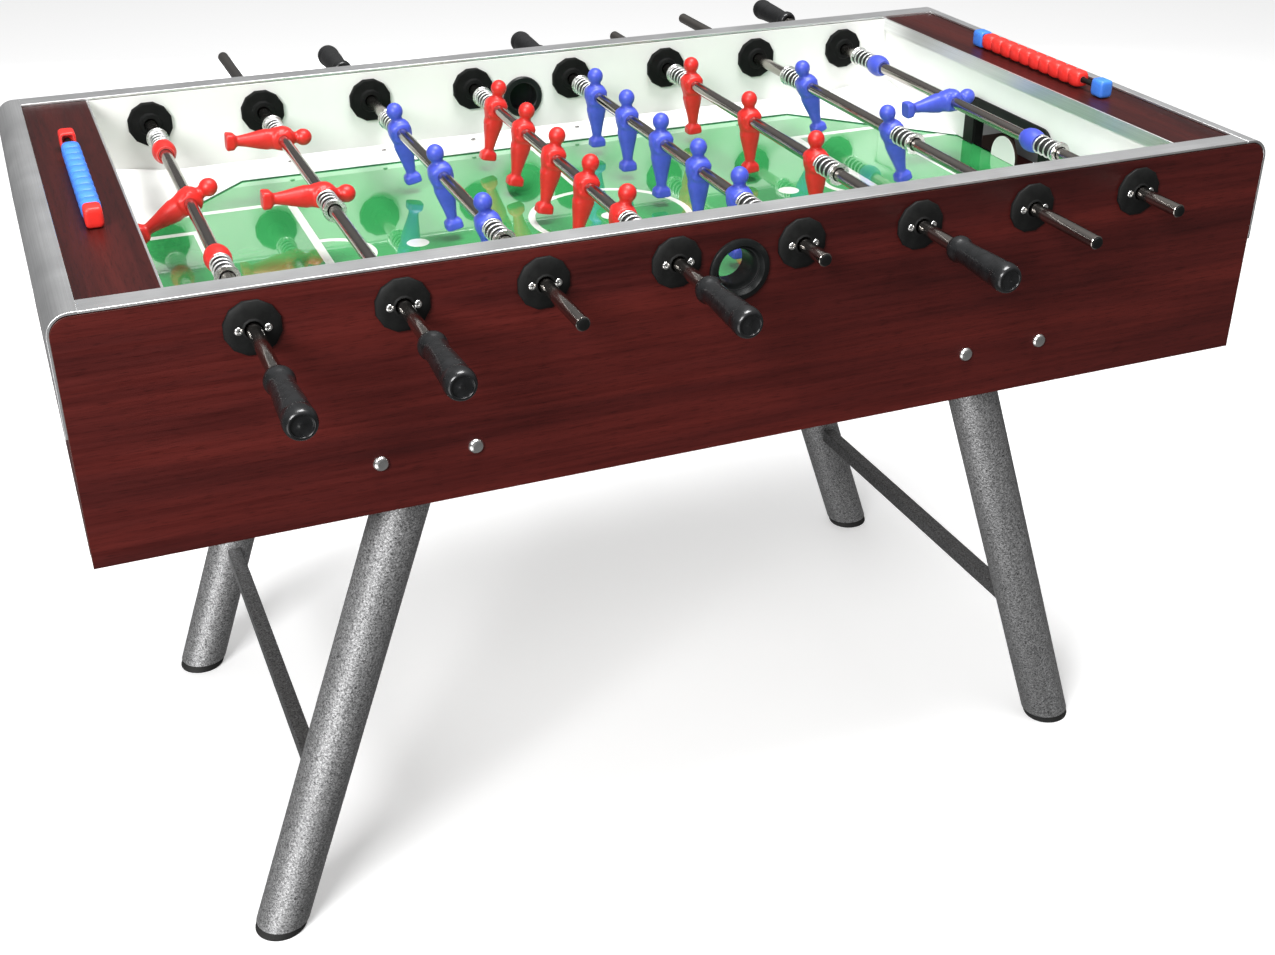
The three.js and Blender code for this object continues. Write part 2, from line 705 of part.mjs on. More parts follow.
function scoring() {
  const group = new THREE.Group();
  group.position.z = DECK_TOP + SCORE_RAIL_HEIGHT;
  const left = node('left_score_beads', beadStack(), bluePlastic());
  left.position.set(-SCORE_X, -BEAD_STACK_REST_Y, 0);
  const right = node('right_score_beads', beadStack(), redPlastic());
  right.position.set(SCORE_X, BEAD_STACK_REST_Y, 0);
  group.add(left, right);
  return group;
}

function rodAssembly(rod, index) {
  const number = index + 1;
  const place = new THREE.Group();
  place.position.set(rodX(index), rod.slide, ROD_HEIGHT);
  const spin = new THREE.Group();
  spin.rotation.y = THREE.MathUtils.degToRad(rod.angle);
  spin.add(node(`rod_${number}_${rod.role}`, playerRod(rod), teamPlastic(rod.team)));
  if (rod.handle !== 'none') {
    const grip = node(`rod_${number}_handle`, handle(), blackPlastic());
    grip.rotation.z = rod.handle === 'front' ? Math.PI : 0;
    grip.position.y = rod.handle === 'front' ? -rod.grip : rod.grip;
    spin.add(grip);
  }
  place.add(spin, node(`rod_${number}_front_spring`, frontSpring(rod), springSteel()));
  return place;
}

function bearings(index) {
  const number = index + 1;
  const group = new THREE.Group();
  group.position.set(rodX(index), 0, ROD_HEIGHT);
  group.add(
    node(`rod_${number}_front_bearing`, flipY(bearing()), blackPlastic()),
    node(`rod_${number}_back_bearing`, bearing(), blackPlastic()),
  );
  return group;
}

function undercarriage() {
  const group = new THREE.Group();
  const frontRight = leg();
  group.add(
    node('front_right_leg', frontRight, hammerPaint()),
    node('front_left_leg', flipX(frontRight), hammerPaint()),
    node('back_right_leg', flipY(frontRight), hammerPaint()),
    node('back_left_leg', flipX(flipY(frontRight)), hammerPaint()),
    node('right_crossbar', crossbar(), hammerPaint()),
    node('left_crossbar', flipX(crossbar()), hammerPaint()),
  );
  return group;
}

// The middle of the footprint, which the rods' ends and handles decide.
function footprintCentreY() {
  const ends = RODS.flatMap((rod) => {
    const { plainEnd } = LAYOUTS[rod.figures];
    const gripEnd = rod.grip + HANDLE_LENGTH;
    return [
      rod.slide - (rod.handle === 'front' ? gripEnd : plainEnd),
      rod.slide + (rod.handle === 'back' ? gripEnd : plainEnd),
    ];
  });
  return (Math.min(...ends) + Math.max(...ends)) / 2;
}

// The origin is on the floor under the middle of the footprint.
const table = new THREE.Group();
table.position.y = -footprintCentreY();
table.add(cabinet(), scoring(), undercarriage());
for (const [index, rod] of RODS.entries()) {
  table.add(rodAssembly(rod, index), bearings(index));
}

export default table;
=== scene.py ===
import json
import math

import bmesh
import bpy
from mathutils import Matrix, Vector


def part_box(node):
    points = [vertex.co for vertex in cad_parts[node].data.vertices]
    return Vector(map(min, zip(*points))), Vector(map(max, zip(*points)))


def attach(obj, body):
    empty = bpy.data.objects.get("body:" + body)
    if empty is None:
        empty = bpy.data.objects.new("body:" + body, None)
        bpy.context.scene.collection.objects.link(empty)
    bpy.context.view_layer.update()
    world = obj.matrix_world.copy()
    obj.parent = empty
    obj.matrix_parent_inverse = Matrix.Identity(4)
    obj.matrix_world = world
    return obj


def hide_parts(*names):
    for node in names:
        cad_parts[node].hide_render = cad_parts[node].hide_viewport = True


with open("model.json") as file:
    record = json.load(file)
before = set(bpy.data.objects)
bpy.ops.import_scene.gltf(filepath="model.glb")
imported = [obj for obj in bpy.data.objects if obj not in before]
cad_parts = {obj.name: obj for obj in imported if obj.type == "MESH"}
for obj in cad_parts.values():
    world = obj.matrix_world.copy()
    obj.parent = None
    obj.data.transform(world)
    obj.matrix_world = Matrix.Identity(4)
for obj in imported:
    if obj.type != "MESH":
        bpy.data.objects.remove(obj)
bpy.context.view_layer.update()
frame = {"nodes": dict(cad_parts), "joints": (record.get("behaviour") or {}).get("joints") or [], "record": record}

# The looks of the foosball table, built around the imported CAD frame.
# Shapes are written in millimetres about the middle of the cabinet, with z up from the floor.

MM = 0.001
record = frame["record"]
joints = {joint["name"]: joint for joint in frame["joints"]}
scene = bpy.context.scene


def middle_y():
    low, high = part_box("playfield")
    return (low.y + high.y) / 2


MID_Y = middle_y()


def cad(node):
    """A CAD node's lowest and highest corners, in millimetres about the cabinet's middle."""
    low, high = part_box(node)
    shift = Vector((0, MID_Y, 0))
    return (low - shift) / MM, (high - shift) / MM


# ------------------------------------------------------------------ dimensions

rim_low, rim_high = cad("top_rim")
panel_low, panel_high = cad("front_side_panel")
field_low, field_high = cad("playfield")
deck_low, deck_high = cad("right_deck")
leg_high = cad("front_right_leg")[1]

HALF_LENGTH = panel_high.x
HALF_WIDTH = rim_high.y
RIM_TOP = rim_high.z
RIM_THICKNESS = 3.0
RIM_END_X = rim_high.x
RIM_BOTTOM = rim_low.z
PANEL_BOTTOM = panel_low.z
PANEL_CORNER = 22.0
SHADOW_GAP = 1.1
FIT_GAP = 0.3
PANEL_THICKNESS = 29.0
INNER_Y = HALF_WIDTH - PANEL_THICKNESS
INNER_FACE = INNER_Y - FIT_GAP
OUTER_FACE = HALF_WIDTH + FIT_GAP
PANEL_TOP = RIM_TOP - RIM_THICKNESS - SHADOW_GAP
LINING = 3.5
FIELD_TOP = field_high.z
FIELD_BASE = FIELD_TOP + FIT_GAP
EDGE_Y = 317.0
CORNER_X = 418.0
MOUTH_Y = 125.0
END_WALL_X = 602.0
END_WALL_THICKNESS = 12.0
DECK_X = (deck_low.x, deck_high.x)
DECK_TOP = 877.0
GOAL_HALF_WIDTH = 104.0
GOAL_TOP = 822.0
MOUTH_HALF_WIDTH = 80.0
MOUTH_TOP = 806.0
GOAL_WALL_THICKNESS = 3.6
GOAL_FRAME_DEPTH = 4.3
MOUTH_CLEARANCE = 4.3
SIDE_RAMP_RISE = 18
CORNER_RAMP_RISE = 32
RAMP_TILT = 28.5
RAMP_SCREWS_X = (-345, -212, -80, 80, 212, 345)
RAMP_SCREW_Y = 338
RAMP_SCREW_RISE = 13.4
CUP_Z = 818.0
ROD_Z = joints["rod_1_spin"]["pos_m"][2] / MM
ROD_HOLE_RADIUS = 13.6
CUP_HOLE_RADIUS = 25.2
BOLT_HOLE_RADIUS = 4.8
SCORE_X = 640.0
SCORE_POST_Y = 141.5
BEARING_SCREW_REACH = 14.4
BEADS = 10
GOAL_STOP_RADIUS = 29.0
GOAL_STOP_Z = 758.0
RETURN_BOTTOM = 680.0
RETURN_TOP = 728.0
RETURN_HALF_WIDTH = 78.0
LEG_BOLTS_X = (306.0, 410.0)
LEG_BOLT_Z = 663.0
LEG_FOOT_X = 571.0
LEG_LEAN = 209.0 / 604.0
LEG_Y = 302.0
LEG_RADIUS = 31.5
FOOT_HEIGHT = 12.0
CROSSBAR_Z = 200.0

FIGURES = {"goalkeeper": 1, "defence": 2, "attack": 3, "midfield": 5}
SPACING = {1: 0.0, 2: 239.0, 3: 189.5, 5: 116.5}
BUMPER_PLACE = 198.0
BUMPER_HALF = 15.0
FIGURE_HALF = 14.0
FIGURE_VOXEL = 1.2
ROD_RADIUS = 7.7
CAP_SHOWS = 2.3
SPRING_LENGTH = 42.0
SPRING_WIRE = 1.15
SPRING_TURNS = 4.75
REST_ANGLES = (61, 93, -11, 12, -1, -3, -19, 85)


# ------------------------------------------------------------------ camera

CAMERA_PLACE = (-0.7255, -1.8396, 1.4695)
CAMERA_AZIMUTH = -22.527
CAMERA_ELEVATION = 29.212
CAMERA_ROLL = 0.065
SENSOR_WIDTH = 36.0
FOCAL_IN_WIDTHS = 1.2562


def add_camera():
    data = bpy.data.cameras.new("camera")
    data.sensor_width = SENSOR_WIDTH
    data.lens = SENSOR_WIDTH * FOCAL_IN_WIDTHS
    data.clip_end = 50
    camera = bpy.data.objects.new("camera", data)
    scene.collection.objects.link(camera)
    turn = (
        Matrix.Rotation(math.radians(CAMERA_AZIMUTH), 4, "Z")
        @ Matrix.Rotation(math.radians(90 - CAMERA_ELEVATION), 4, "X")
        @ Matrix.Rotation(math.radians(CAMERA_ROLL), 4, "Z")
    )
    x, y, z = CAMERA_PLACE
    camera.matrix_world = Matrix.Translation((x, y + MID_Y, z)) @ turn
    scene.camera = camera


add_camera()


# ------------------------------------------------------------------ material helpers

class Nodes:
    """Short ways to add nodes to a tree. Sockets are named with _ for a space."""

    def __init__(self, tree):
        self.tree = tree

    def node(self, kind, **inputs):
        made = self.tree.nodes.new(kind)
        for socket, value in inputs.items():
            self.feed(made.inputs[socket.replace("_", " ")], value)
        return made

    def feed(self, socket, value):
        if isinstance(value, bpy.types.NodeSocket):
            self.tree.links.new(value, socket)
        else:
            socket.default_value = value

    def ramp(self, value, stops):
        made = self.node("ShaderNodeValToRGB", Fac=value)
        elements = made.color_ramp.elements
        while len(elements) < len(stops):
            elements.new(0.5)
        for element, (place, color) in zip(elements, stops):
            element.position = place
            element.color = (*color, 1.0)
        return made.outputs["Color"]

    def spread(self, value, low, high, at=(0.3, 0.7), easing="LINEAR"):
        """Maps a value between the two in at to a number between low and high."""
        made = self.node(
            "ShaderNodeMapRange", Value=value, From_Min=at[0], From_Max=at[1],
            To_Min=low, To_Max=high,
        )
        made.interpolation_type = easing
        return made.outputs["Result"]

    def vector_math(self, operation, a, b):
        made = self.node("ShaderNodeVectorMath")
        made.operation = operation
        self.feed(made.inputs[0], a)
        self.feed(made.inputs[1], b)
        return made.outputs["Value" if operation == "DOT_PRODUCT" else "Vector"]


class Paint(Nodes):
    """A material being built around its shader."""

    def __init__(self, name, color, roughness, metallic=0.0, **sockets):
        self.material = bpy.data.materials.new(name)
        self.material.use_nodes = True
        super().__init__(self.material.node_tree)
        self.wear(Base_Color=(*color, 1.0), Roughness=roughness, Metallic=metallic, **sockets)

    def wear(self, **sockets):
        """Sets the shader's sockets to numbers, colours or node outputs."""
        shader = self.tree.nodes["Principled BSDF"]
        for socket, value in sockets.items():
            self.feed(shader.inputs[socket.replace("_", " ")], value)
        return self.material

    def coordinates(self, scale=(1, 1, 1)):
        source = self.node("ShaderNodeTexCoord")
        mapping = self.node("ShaderNodeMapping", Scale=scale, Vector=source.outputs["Object"])
        return mapping.outputs["Vector"]

    def noise(self, scale, detail=3.0, roughness=0.5, stretch=(1, 1, 1), distortion=0.0):
        made = self.node(
            "ShaderNodeTexNoise", Vector=self.coordinates(stretch), Scale=scale,
            Detail=detail, Roughness=roughness, Distortion=distortion,
        )
        return made.outputs["Fac"]

    def voronoi(self, scale, feature="F1", stretch=(1, 1, 1)):
        made = self.node("ShaderNodeTexVoronoi", Vector=self.coordinates(stretch), Scale=scale)
        made.feature = feature
        return made.outputs["Distance"]

    def mix(self, factor, a, b, blend="MIX"):
        made = self.tree.nodes.new("ShaderNodeMix")
        made.data_type = "RGBA"
        made.blend_type = blend
        self.feed(made.inputs[0], factor)
        for socket, value in ((made.inputs[6], a), (made.inputs[7], b)):
            if isinstance(value, tuple):
                value = (*value, 1.0)
            self.feed(socket, value)
        return made.outputs[2]

    def edges(self, radius, gain):
        """Near 1 on worn edges and corners, and 0 on flat ground."""
        geometry = self.node("ShaderNodeNewGeometry")
        bevel = self.node("ShaderNodeBevel", Radius=radius)
        bevel.samples = 4
        dot = self.vector_math("DOT_PRODUCT", geometry.outputs["Normal"], bevel.outputs["Normal"])
        return self.spread(dot, 0.0, 1.0, (1.0, 1.0 - 1.0 / gain))

    def bump(self, height, depth, after=None):
        made = self.node("ShaderNodeBump", Height=height, Strength=1.0, Distance=depth)
        if after is not None:
            self.feed(made.inputs["Normal"], after)
        return made.outputs["Normal"]


# ------------------------------------------------------------------ materials

def mahogany(name, grain, shade=1.0):
    """Wood-print laminate with its streaks along the axis that grain names; shade darkens all its tones, which
    paints shade on the decks.
    """
    def tone(red, green, blue):
        return (shade * red, shade * green, shade * blue)

    def along(length, width):
        return tuple(1 / length if axis == grain else 1 / width for axis in "XYZ")

    paint = Paint(name, (0.07, 0.018, 0.014), 0.4, Specular_IOR_Level=0.28)
    bands = paint.noise(1.0, 4.0, 0.55, along(0.75, 0.055), 0.35)
    streaks = paint.noise(1.0, 5.0, 0.6, along(0.16, 0.0045), 0.2)
    pores = paint.noise(1.0, 3.0, 0.6, along(0.020, 0.0013))
    ground = paint.ramp(bands, [
        (0.30, tone(0.038, 0.0052, 0.0048)),
        (0.47, tone(0.072, 0.0092, 0.0078)),
        (0.60, tone(0.100, 0.0125, 0.0098)),
        (0.80, tone(0.130, 0.0170, 0.0125)),
    ])
    lines = paint.ramp(streaks, [(0.34, (0.80, 0.77, 0.78)), (0.52, (1, 1, 1)), (0.74, (1.13, 1.1, 1.1))])
    dashes = paint.ramp(pores, [(0.34, (0.50, 0.46, 0.46)), (0.46, (1, 1, 1))])
    wood = paint.mix(1.0, ground, lines, "MULTIPLY")
    wood = paint.mix(0.75, wood, dashes, "MULTIPLY")
    wood = paint.mix(paint.edges(0.0012, 5.0), wood, (0.11, 0.045, 0.035))
    return paint.wear(
        Base_Color=wood,
        Roughness=paint.spread(streaks, 0.33, 0.47),
        Normal=paint.bump(pores, 0.00006),
    )


def white_laminate(name, color=(0.84, 0.84, 0.81)):
    paint = Paint(name, color, 0.36)
    cloud = paint.noise(9.0, 4.0)
    grain = paint.noise(900.0, 2.0)
    shade = tuple(0.93 * channel for channel in color)
    return paint.wear(
        Base_Color=paint.mix(paint.spread(cloud, 0.0, 1.0), color, shade),
        Roughness=paint.spread(grain, 0.30, 0.44),
        Normal=paint.bump(grain, 0.00003),
    )


def aluminium(name, grain, color=(0.86, 0.865, 0.87), roughness=0.42):
    """Satin metal with fine brush lines along the axis that grain names."""
    stretch = tuple(4.0 if axis == grain else 900.0 for axis in "XYZ")
    paint = Paint(name, color, roughness, 1.0)
    lines = paint.noise(1.0, 3.0, 0.6, stretch)
    smudge = paint.noise(14.0, 4.0)
    dull = tuple(0.90 * channel for channel in color)
    bright = tuple(min(1.0, 1.06 * channel) for channel in color)
    tint = paint.mix(paint.spread(lines, 0.0, 1.0), dull, bright)
    worn = paint.mix(paint.edges(0.0010, 4.0), tint, (0.88, 0.88, 0.87))
    rough = paint.spread(smudge, roughness - 0.02, roughness + 0.04)
    return paint.wear(Base_Color=worn, Roughness=rough, Normal=paint.bump(lines, 0.00004))


def black_plastic(name, color=(0.0065, 0.0068, 0.0066), roughness=0.45, grain_depth=0.00008, specular=0.16):
    paint = Paint(name, color, roughness, Specular_IOR_Level=specular)
    grain = paint.noise(1400.0, 2.0)
    scuff = paint.noise(60.0, 5.0, 0.65)
    lighter = tuple(2.2 * channel + 0.002 for channel in color)
    ground = paint.mix(paint.spread(scuff, 0.0, 0.55, (0.45, 0.85)), color, lighter)
    worn = paint.mix(paint.edges(0.0009, 4.0), ground, (0.028, 0.028, 0.029))
    return paint.wear(
        Base_Color=worn,
        Roughness=paint.spread(scuff, roughness - 0.08, roughness + 0.1),
        Normal=paint.bump(grain, grain_depth),
    )


def grip_plastic(name):
    paint = Paint(
        name, (0.005, 0.0055, 0.006), 0.24,
        Specular_IOR_Level=0.4, Coat_Weight=0.3, Coat_Roughness=0.08,
    )
    handling = paint.noise(70.0, 6.0, 0.7)
    fine = paint.noise(700.0, 3.0)
    tint = paint.mix(paint.spread(handling, 0.0, 1.0), (0.0045, 0.0048, 0.0052), (0.013, 0.0135, 0.0145))
    return paint.wear(
        Base_Color=tint,
        Roughness=paint.spread(handling, 0.18, 0.40),
        Normal=paint.bump(fine, 0.00004),
    )


def polished(name, color, roughness, ring_stretch=(30, 900, 30), metallic=1.0):
    """Plated steel with faint rings and smears from use."""
    paint = Paint(name, color, roughness, metallic)
    rings = paint.noise(1.0, 3.0, 0.6, ring_stretch)
    smear = paint.noise(24.0, 5.0, 0.6, (1, 0.3, 1))
    dull = tuple(0.72 * channel for channel in color)
    return paint.wear(
        Base_Color=paint.mix(paint.spread(smear, 0.0, 0.8), color, dull),
        Roughness=paint.spread(rings, max(0.03, roughness - 0.05), roughness + 0.09),
        Normal=paint.bump(rings, 0.00002),
    )


def figure_plastic(name, color, dark):
    """Moulded plastic, faintly pebbled, a little paler where it is rubbed."""
    paint = Paint(
        name, color, 0.42,
        Subsurface_Weight=0.08, Subsurface_Scale=0.004, Subsurface_Radius=(1.0, 0.35, 0.35),
    )
    cloud = paint.noise(55.0, 4.0, 0.6)
    pebble = paint.noise(950.0, 3.0)
    tint = paint.mix(paint.spread(cloud, 0.0, 0.7), color, dark)
    pale = tuple(min(1.0, 0.72 * channel + 0.22) for channel in color)
    worn = paint.mix(paint.edges(0.0011, 9.0), tint, pale)
    return paint.wear(
        Base_Color=worn,
        Roughness=paint.spread(cloud, 0.34, 0.50),
        Normal=paint.bump(pebble, 0.00010),
    )


def hammertone(name, light=0.86, dark=0.03):
    """Silver paint that dried in small cells with dark seams."""
    paint = Paint(name, (0.3, 0.3, 0.3), 0.36, 0.62)
    swirl = paint.noise(520.0, 3.0, 0.65, distortion=1.2)
    cells = paint.voronoi(430.0, "SMOOTH_F1")
    drift = paint.noise(9.0, 3.0)
    middle = 0.42 * light

    def grey(value):
        return (value, value, 1.01 * value)

    cell_tone = paint.ramp(cells, [(0.18, grey(light)), (0.46, grey(middle)), (0.74, grey(dark))])
    swirl_tone = paint.ramp(swirl, [(0.40, grey(dark)), (0.50, grey(middle)), (0.60, grey(light))])
    tone = paint.mix(0.62, cell_tone, swirl_tone)
    tone = paint.mix(paint.spread(drift, 0.0, 0.25), tone, grey(0.6 * middle))
    relief = paint.bump(swirl, 0.00034)
    return paint.wear(
        Base_Color=tone,
        Roughness=paint.spread(swirl, 0.26, 0.44),
        Normal=paint.bump(cells, 0.00024, relief),
    )


def rubber(name):
    paint = Paint(name, (0.012, 0.012, 0.012), 0.75)
    grain = paint.noise(800.0, 3.0)
    dust = paint.noise(30.0, 5.0)
    return paint.wear(
        Base_Color=paint.mix(paint.spread(dust, 0.0, 0.6), (0.010, 0.010, 0.010), (0.035, 0.034, 0.032)),
        Roughness=paint.spread(grain, 0.62, 0.86),
        Normal=paint.bump(grain, 0.00012),
    )


def under_glass(name, color, dark):
    """A print under a clear, very glossy sheet."""
    paint = Paint(
        name, color, 0.05, IOR=1.75, Coat_Weight=0.6, Coat_IOR=1.9, Coat_Roughness=0.012,
    )
    print_cloud = paint.noise(4.0, 4.0)
    dots = paint.noise(1500.0, 1.0)
    wave = paint.noise(7.0, 1.0)
    tint = paint.mix(paint.spread(print_cloud, 0.0, 1.0), color, dark)
    tint = paint.mix(paint.spread(dots, 0.0, 0.12), tint, dark)
    return paint.wear(
        Base_Color=tint,
        Roughness=paint.spread(dots, 0.03, 0.08),
        Coat_Normal=paint.bump(wave, 0.00012),
    )


WOOD_LONG = mahogany("mahogany_long_grain", "X")
WOOD_CROSS = mahogany("mahogany_cross_grain", "Y")
# The decks use the same mahogany darkened to 0.48: painted shade on the top-facing boards.
WOOD_DECK_SHADED = mahogany("mahogany_deck_painted_shade", "Y", 0.48)
WHITE = white_laminate("white_laminate", (0.76, 0.76, 0.735))
WHITE_RAMP = white_laminate("white_ramp_plastic", (0.86, 0.86, 0.84))
RIM_LONG = aluminium("aluminium_long", "X")
RIM_CROSS = aluminium("aluminium_cross", "Y")
# A brighter copy of the rim aluminium for the strips' side faces and the fascia tops: a painted highlight along
# those edges.
RIM_HIGHLIGHT = aluminium("aluminium_painted_highlight_edge", "X", (0.95, 0.95, 0.94), 0.42)
BLACK = black_plastic("black_moulded_plastic", roughness=0.55)
BLACK_NUT = black_plastic("black_nut_plastic", (0.0055, 0.0058, 0.0056), 0.6, specular=0.07)
BLACK_CUP = black_plastic("black_cup_plastic", (0.008, 0.009, 0.009), 0.34)
GRIP = grip_plastic("glossy_grip_plastic")
# The chrome's base colour is darker and browner than bare chrome: a painted reflection of the dark wood and room
# around the rods.
CHROME = polished("rod_chrome", (0.44, 0.405, 0.375), 0.13)
SPRING = polished("spring_steel", (0.84, 0.84, 0.83), 0.30, (300, 300, 300), 0.8)
STRIP_SCREW = polished("dull_screw_steel", (0.30, 0.29, 0.28), 0.36, (400, 400, 400))
ZINC = polished("zinc_plating", (0.90, 0.90, 0.88), 0.24, (400, 400, 400))
RED = figure_plastic("red_figure_plastic", (0.64, 0.020, 0.015), (0.50, 0.010, 0.008))
BLUE = figure_plastic("blue_figure_plastic", (0.062, 0.092, 0.56), (0.038, 0.058, 0.42))
COUNTER_RED = figure_plastic("bright_red_counter_plastic", (0.86, 0.032, 0.024), (0.66, 0.018, 0.014))
COUNTER_BLUE = figure_plastic("sky_blue_counter_plastic", (0.065, 0.250, 0.83), (0.035, 0.150, 0.66))
HAMMERTONE = hammertone("hammertone_paint")
# A darker copy of the leg paint for the crossbars under the cabinet: painted shade.
HAMMERTONE_SHADED = hammertone("shaded_hammertone_paint", 0.36, 0.02)
RUBBER = rubber("foot_rubber")
GREEN = under_glass("printed_green_under_glass", (0.042, 0.335, 0.095), (0.034, 0.285, 0.078))
WHITE_LINE = under_glass("printed_line_under_glass", (0.78, 0.80, 0.74), (0.66, 0.70, 0.63))
GLASS_EDGE = under_glass("green_glass_edge", (0.010, 0.085, 0.045), (0.006, 0.05, 0.03))
BOARD = white_laminate("raw_field_board", (0.42, 0.32, 0.22))
# A grey copy of the white laminate for the goal pocket's roof and cheeks: the grey is painted shade inside the
# pocket.
GOAL_SHADE_GREY = white_laminate("goal_pocket_painted_shade_grey", (0.30, 0.30, 0.30))
# Near-black brown for the boards deep in the goal pocket: the board's own brown with painted shade on top.
RAW_EDGE_SHADED = white_laminate("raw_board_edge_painted_shade", (0.030, 0.018, 0.014))


# ------------------------------------------------------------------ shapes, as (points, faces)

def arc(x, y, radius, start, end, steps):
    """Points on an arc, from one angle to the other in degrees."""
    angles = [math.radians(start + (end - start) * k / steps) for k in range(steps + 1)]
    return [(x + radius * math.cos(a), y + radius * math.sin(a)) for a in angles]


def circle(x, y, radius, steps=40):
    return arc(x, y, radius, 0, 360, steps)[:-1]


def rectangle(x0, y0, x1, y1):
    return [(x0, y0), (x1, y0), (x1, y1), (x0, y1)]


def arched(half, corner, top, bottom):
    """A rectangle about the vertical axis with its two top corners rounded."""
    right = arc(half - corner, top - corner, corner, 0, 90, 10)
    left = arc(-half + corner, top - corner, corner, 90, 180, 10)
    return [(-half, bottom), (half, bottom), *right, *left]


def taken_from(bm):
    """Empties a bmesh into (points, faces)."""
    bm.verts.index_update()
    shape = [tuple(v.co) for v in bm.verts], [[v.index for v in f.verts] for f in bm.faces]
    bm.free()
    return shape


def plate(outline, holes, low, high):
    """A flat plate over an outline in the XY plane, from one height to the other."""
    bm = bmesh.new()
    for loop in [outline, *holes]:
        corners = [bm.verts.new((x, y, low)) for x, y in loop]
        for a, b in zip(corners, corners[1:] + corners[:1]):
            bm.edges.new((a, b))
    bmesh.ops.triangle_fill(bm, use_beauty=True, use_dissolve=False, edges=bm.edges[:])
    lifted = bmesh.ops.extrude_face_region(bm, geom=bm.faces[:])
    top = [item for item in lifted["geom"] if isinstance(item, bmesh.types.BMVert)]
    bmesh.ops.translate(bm, vec=(0, 0, high - low), verts=top)
    return taken_from(bm)


def remap(shape, change):
    points, faces = shape
    return [change(*point) for point in points], faces


def facing_y(shape):
    """Stands a plate up so that its outline lies in the XZ plane and its height runs along Y."""
    return remap(shape, lambda x, y, z: (x, z, y))


def facing_x(shape):
    """Stands a plate up so that its outline's x runs along Y and its height runs along X."""
    return remap(shape, lambda x, y, z: (z, x, y))


def moved(shape, dx, dy, dz):
    return remap(shape, lambda x, y, z: (x + dx, y + dy, z + dz))


def mirrored(shape, across):
    signs = [-1 if axis in across else 1 for axis in "XYZ"]
    return remap(shape, lambda x, y, z: (signs[0] * x, signs[1] * y, signs[2] * z))


def matched(shape, sign, across):
    """The shape itself on the positive side, and its mirror image on the negative one."""
    return mirrored(shape, across) if sign < 0 else shape


def upright_y(outline, holes, sign, near, far):
    """A plate of an XZ outline, between two distances along Y on the side that sign names."""
    return facing_y(plate(outline, holes, *sorted((sign * near, sign * far))))


def upright_x(outline, sign, near, far):
    """A plate of a YZ outline, between two distances along X at the end that sign names."""
    return facing_x(plate(outline, [], *sorted((sign * near, sign * far))))


def joined(shapes):
    points, faces = [], []
    for more_points, more_faces in shapes:
        start = len(points)
        points += more_points
        faces += [[start + k for k in face] for face in more_faces]
    return points, faces


def box(x0, y0, z0, x1, y1, z1):
    return plate(rectangle(x0, y0, x1, y1), [], z0, z1)


def loft(rings, closed=False):
    """A skin over rings of equal size: capped at both ends, or joined end to end."""
    size = len(rings[0])
    points = [point for ring in rings for point in ring]
    faces = []
    for i in range(len(rings) if closed else len(rings) - 1):
        a, b = i * size, (i + 1) % len(rings) * size
        for k in range(size):
            after = (k + 1) % size
            faces.append([a + k, a + after, b + after, b + k])
    if not closed:
        faces.append(list(range(size)))
        faces.append(list(range(len(points) - size, len(points))))
    return points, faces


def ring_xz(y, half_x, half_z, sides, power=2.0):
    """A superellipse in the XZ plane: power 2 is an ellipse, and more is squarer."""
    ring = []
    for k in range(sides):
        a = 2 * math.pi * k / sides
        c, s = math.cos(a), math.sin(a)
        ring.append((
            half_x * math.copysign(abs(c) ** (2 / power), c),
            y,
            half_z * math.copysign(abs(s) ** (2 / power), s),
        ))
    return ring


def lathe(profile, sides=40):
    """A profile of (radius, y) turned about the Y axis; it ends on the axis or on its own start."""
    closed = profile[0] == profile[-1]
    rings = [ring_xz(y, r, r, sides) for r, y in (profile[:-1] if closed else profile)]
    return loft(rings, closed)


def rounded(profile, radius, steps=4):
    """Rounds the corners of an open (radius, y) profile, apart from its two ends."""
    result = [profile[0]]
    for before, corner, after in zip(profile, profile[1:], profile[2:]):
        c = Vector(corner)
        to_before, to_after = Vector(before) - c, Vector(after) - c
        reach = min(radius, to_before.length * 0.45, to_after.length * 0.45)
        start, end = c + to_before.normalized() * reach, c + to_after.normalized() * reach
        for k in range(steps + 1):
            t = k / steps
            point = start * (1 - t) ** 2 + c * 2 * t * (1 - t) + end * t ** 2
            result.append((point.x, point.y))
    return result + [profile[-1]]


def tube(centres, radius, sides=8):
    """A round wire along a row of points, with its two ends closed."""
    points = [Vector(p) for p in centres]
    normal = None
    rings = []
    for k, point in enumerate(points):
        ahead = points[min(k + 1, len(points) - 1)] - points[max(k - 1, 0)]
        ahead.normalize()
        if normal is None:
            normal = ahead.orthogonal().normalized()
        normal = (normal - ahead * normal.dot(ahead)).normalized()
        side = ahead.cross(normal)
        ring = []
        for j in range(sides):
            a = 2 * math.pi * j / sides
            ring.append(tuple(point + radius * (math.cos(a) * normal + math.sin(a) * side)))
        rings.append(ring)
    return loft(rings)


# ------------------------------------------------------------------ placing pieces

def make_mesh(name, shape, smooth_angle=38):
    points, faces = shape
    mesh = bpy.data.meshes.new(name)
    mesh.from_pydata([[c * MM for c in point] for point in points], [], faces)
    bm = bmesh.new()
    bm.from_mesh(mesh)
    bmesh.ops.remove_doubles(bm, verts=bm.verts, dist=0.002 * MM)
    bmesh.ops.dissolve_degenerate(bm, edges=bm.edges, dist=0.001 * MM)
    bmesh.ops.recalc_face_normals(bm, faces=bm.faces)
    bm.to_mesh(mesh)
    bm.free()
    mesh.shade_smooth()
    mesh.set_sharp_from_angle(angle=math.radians(smooth_angle))
    return mesh


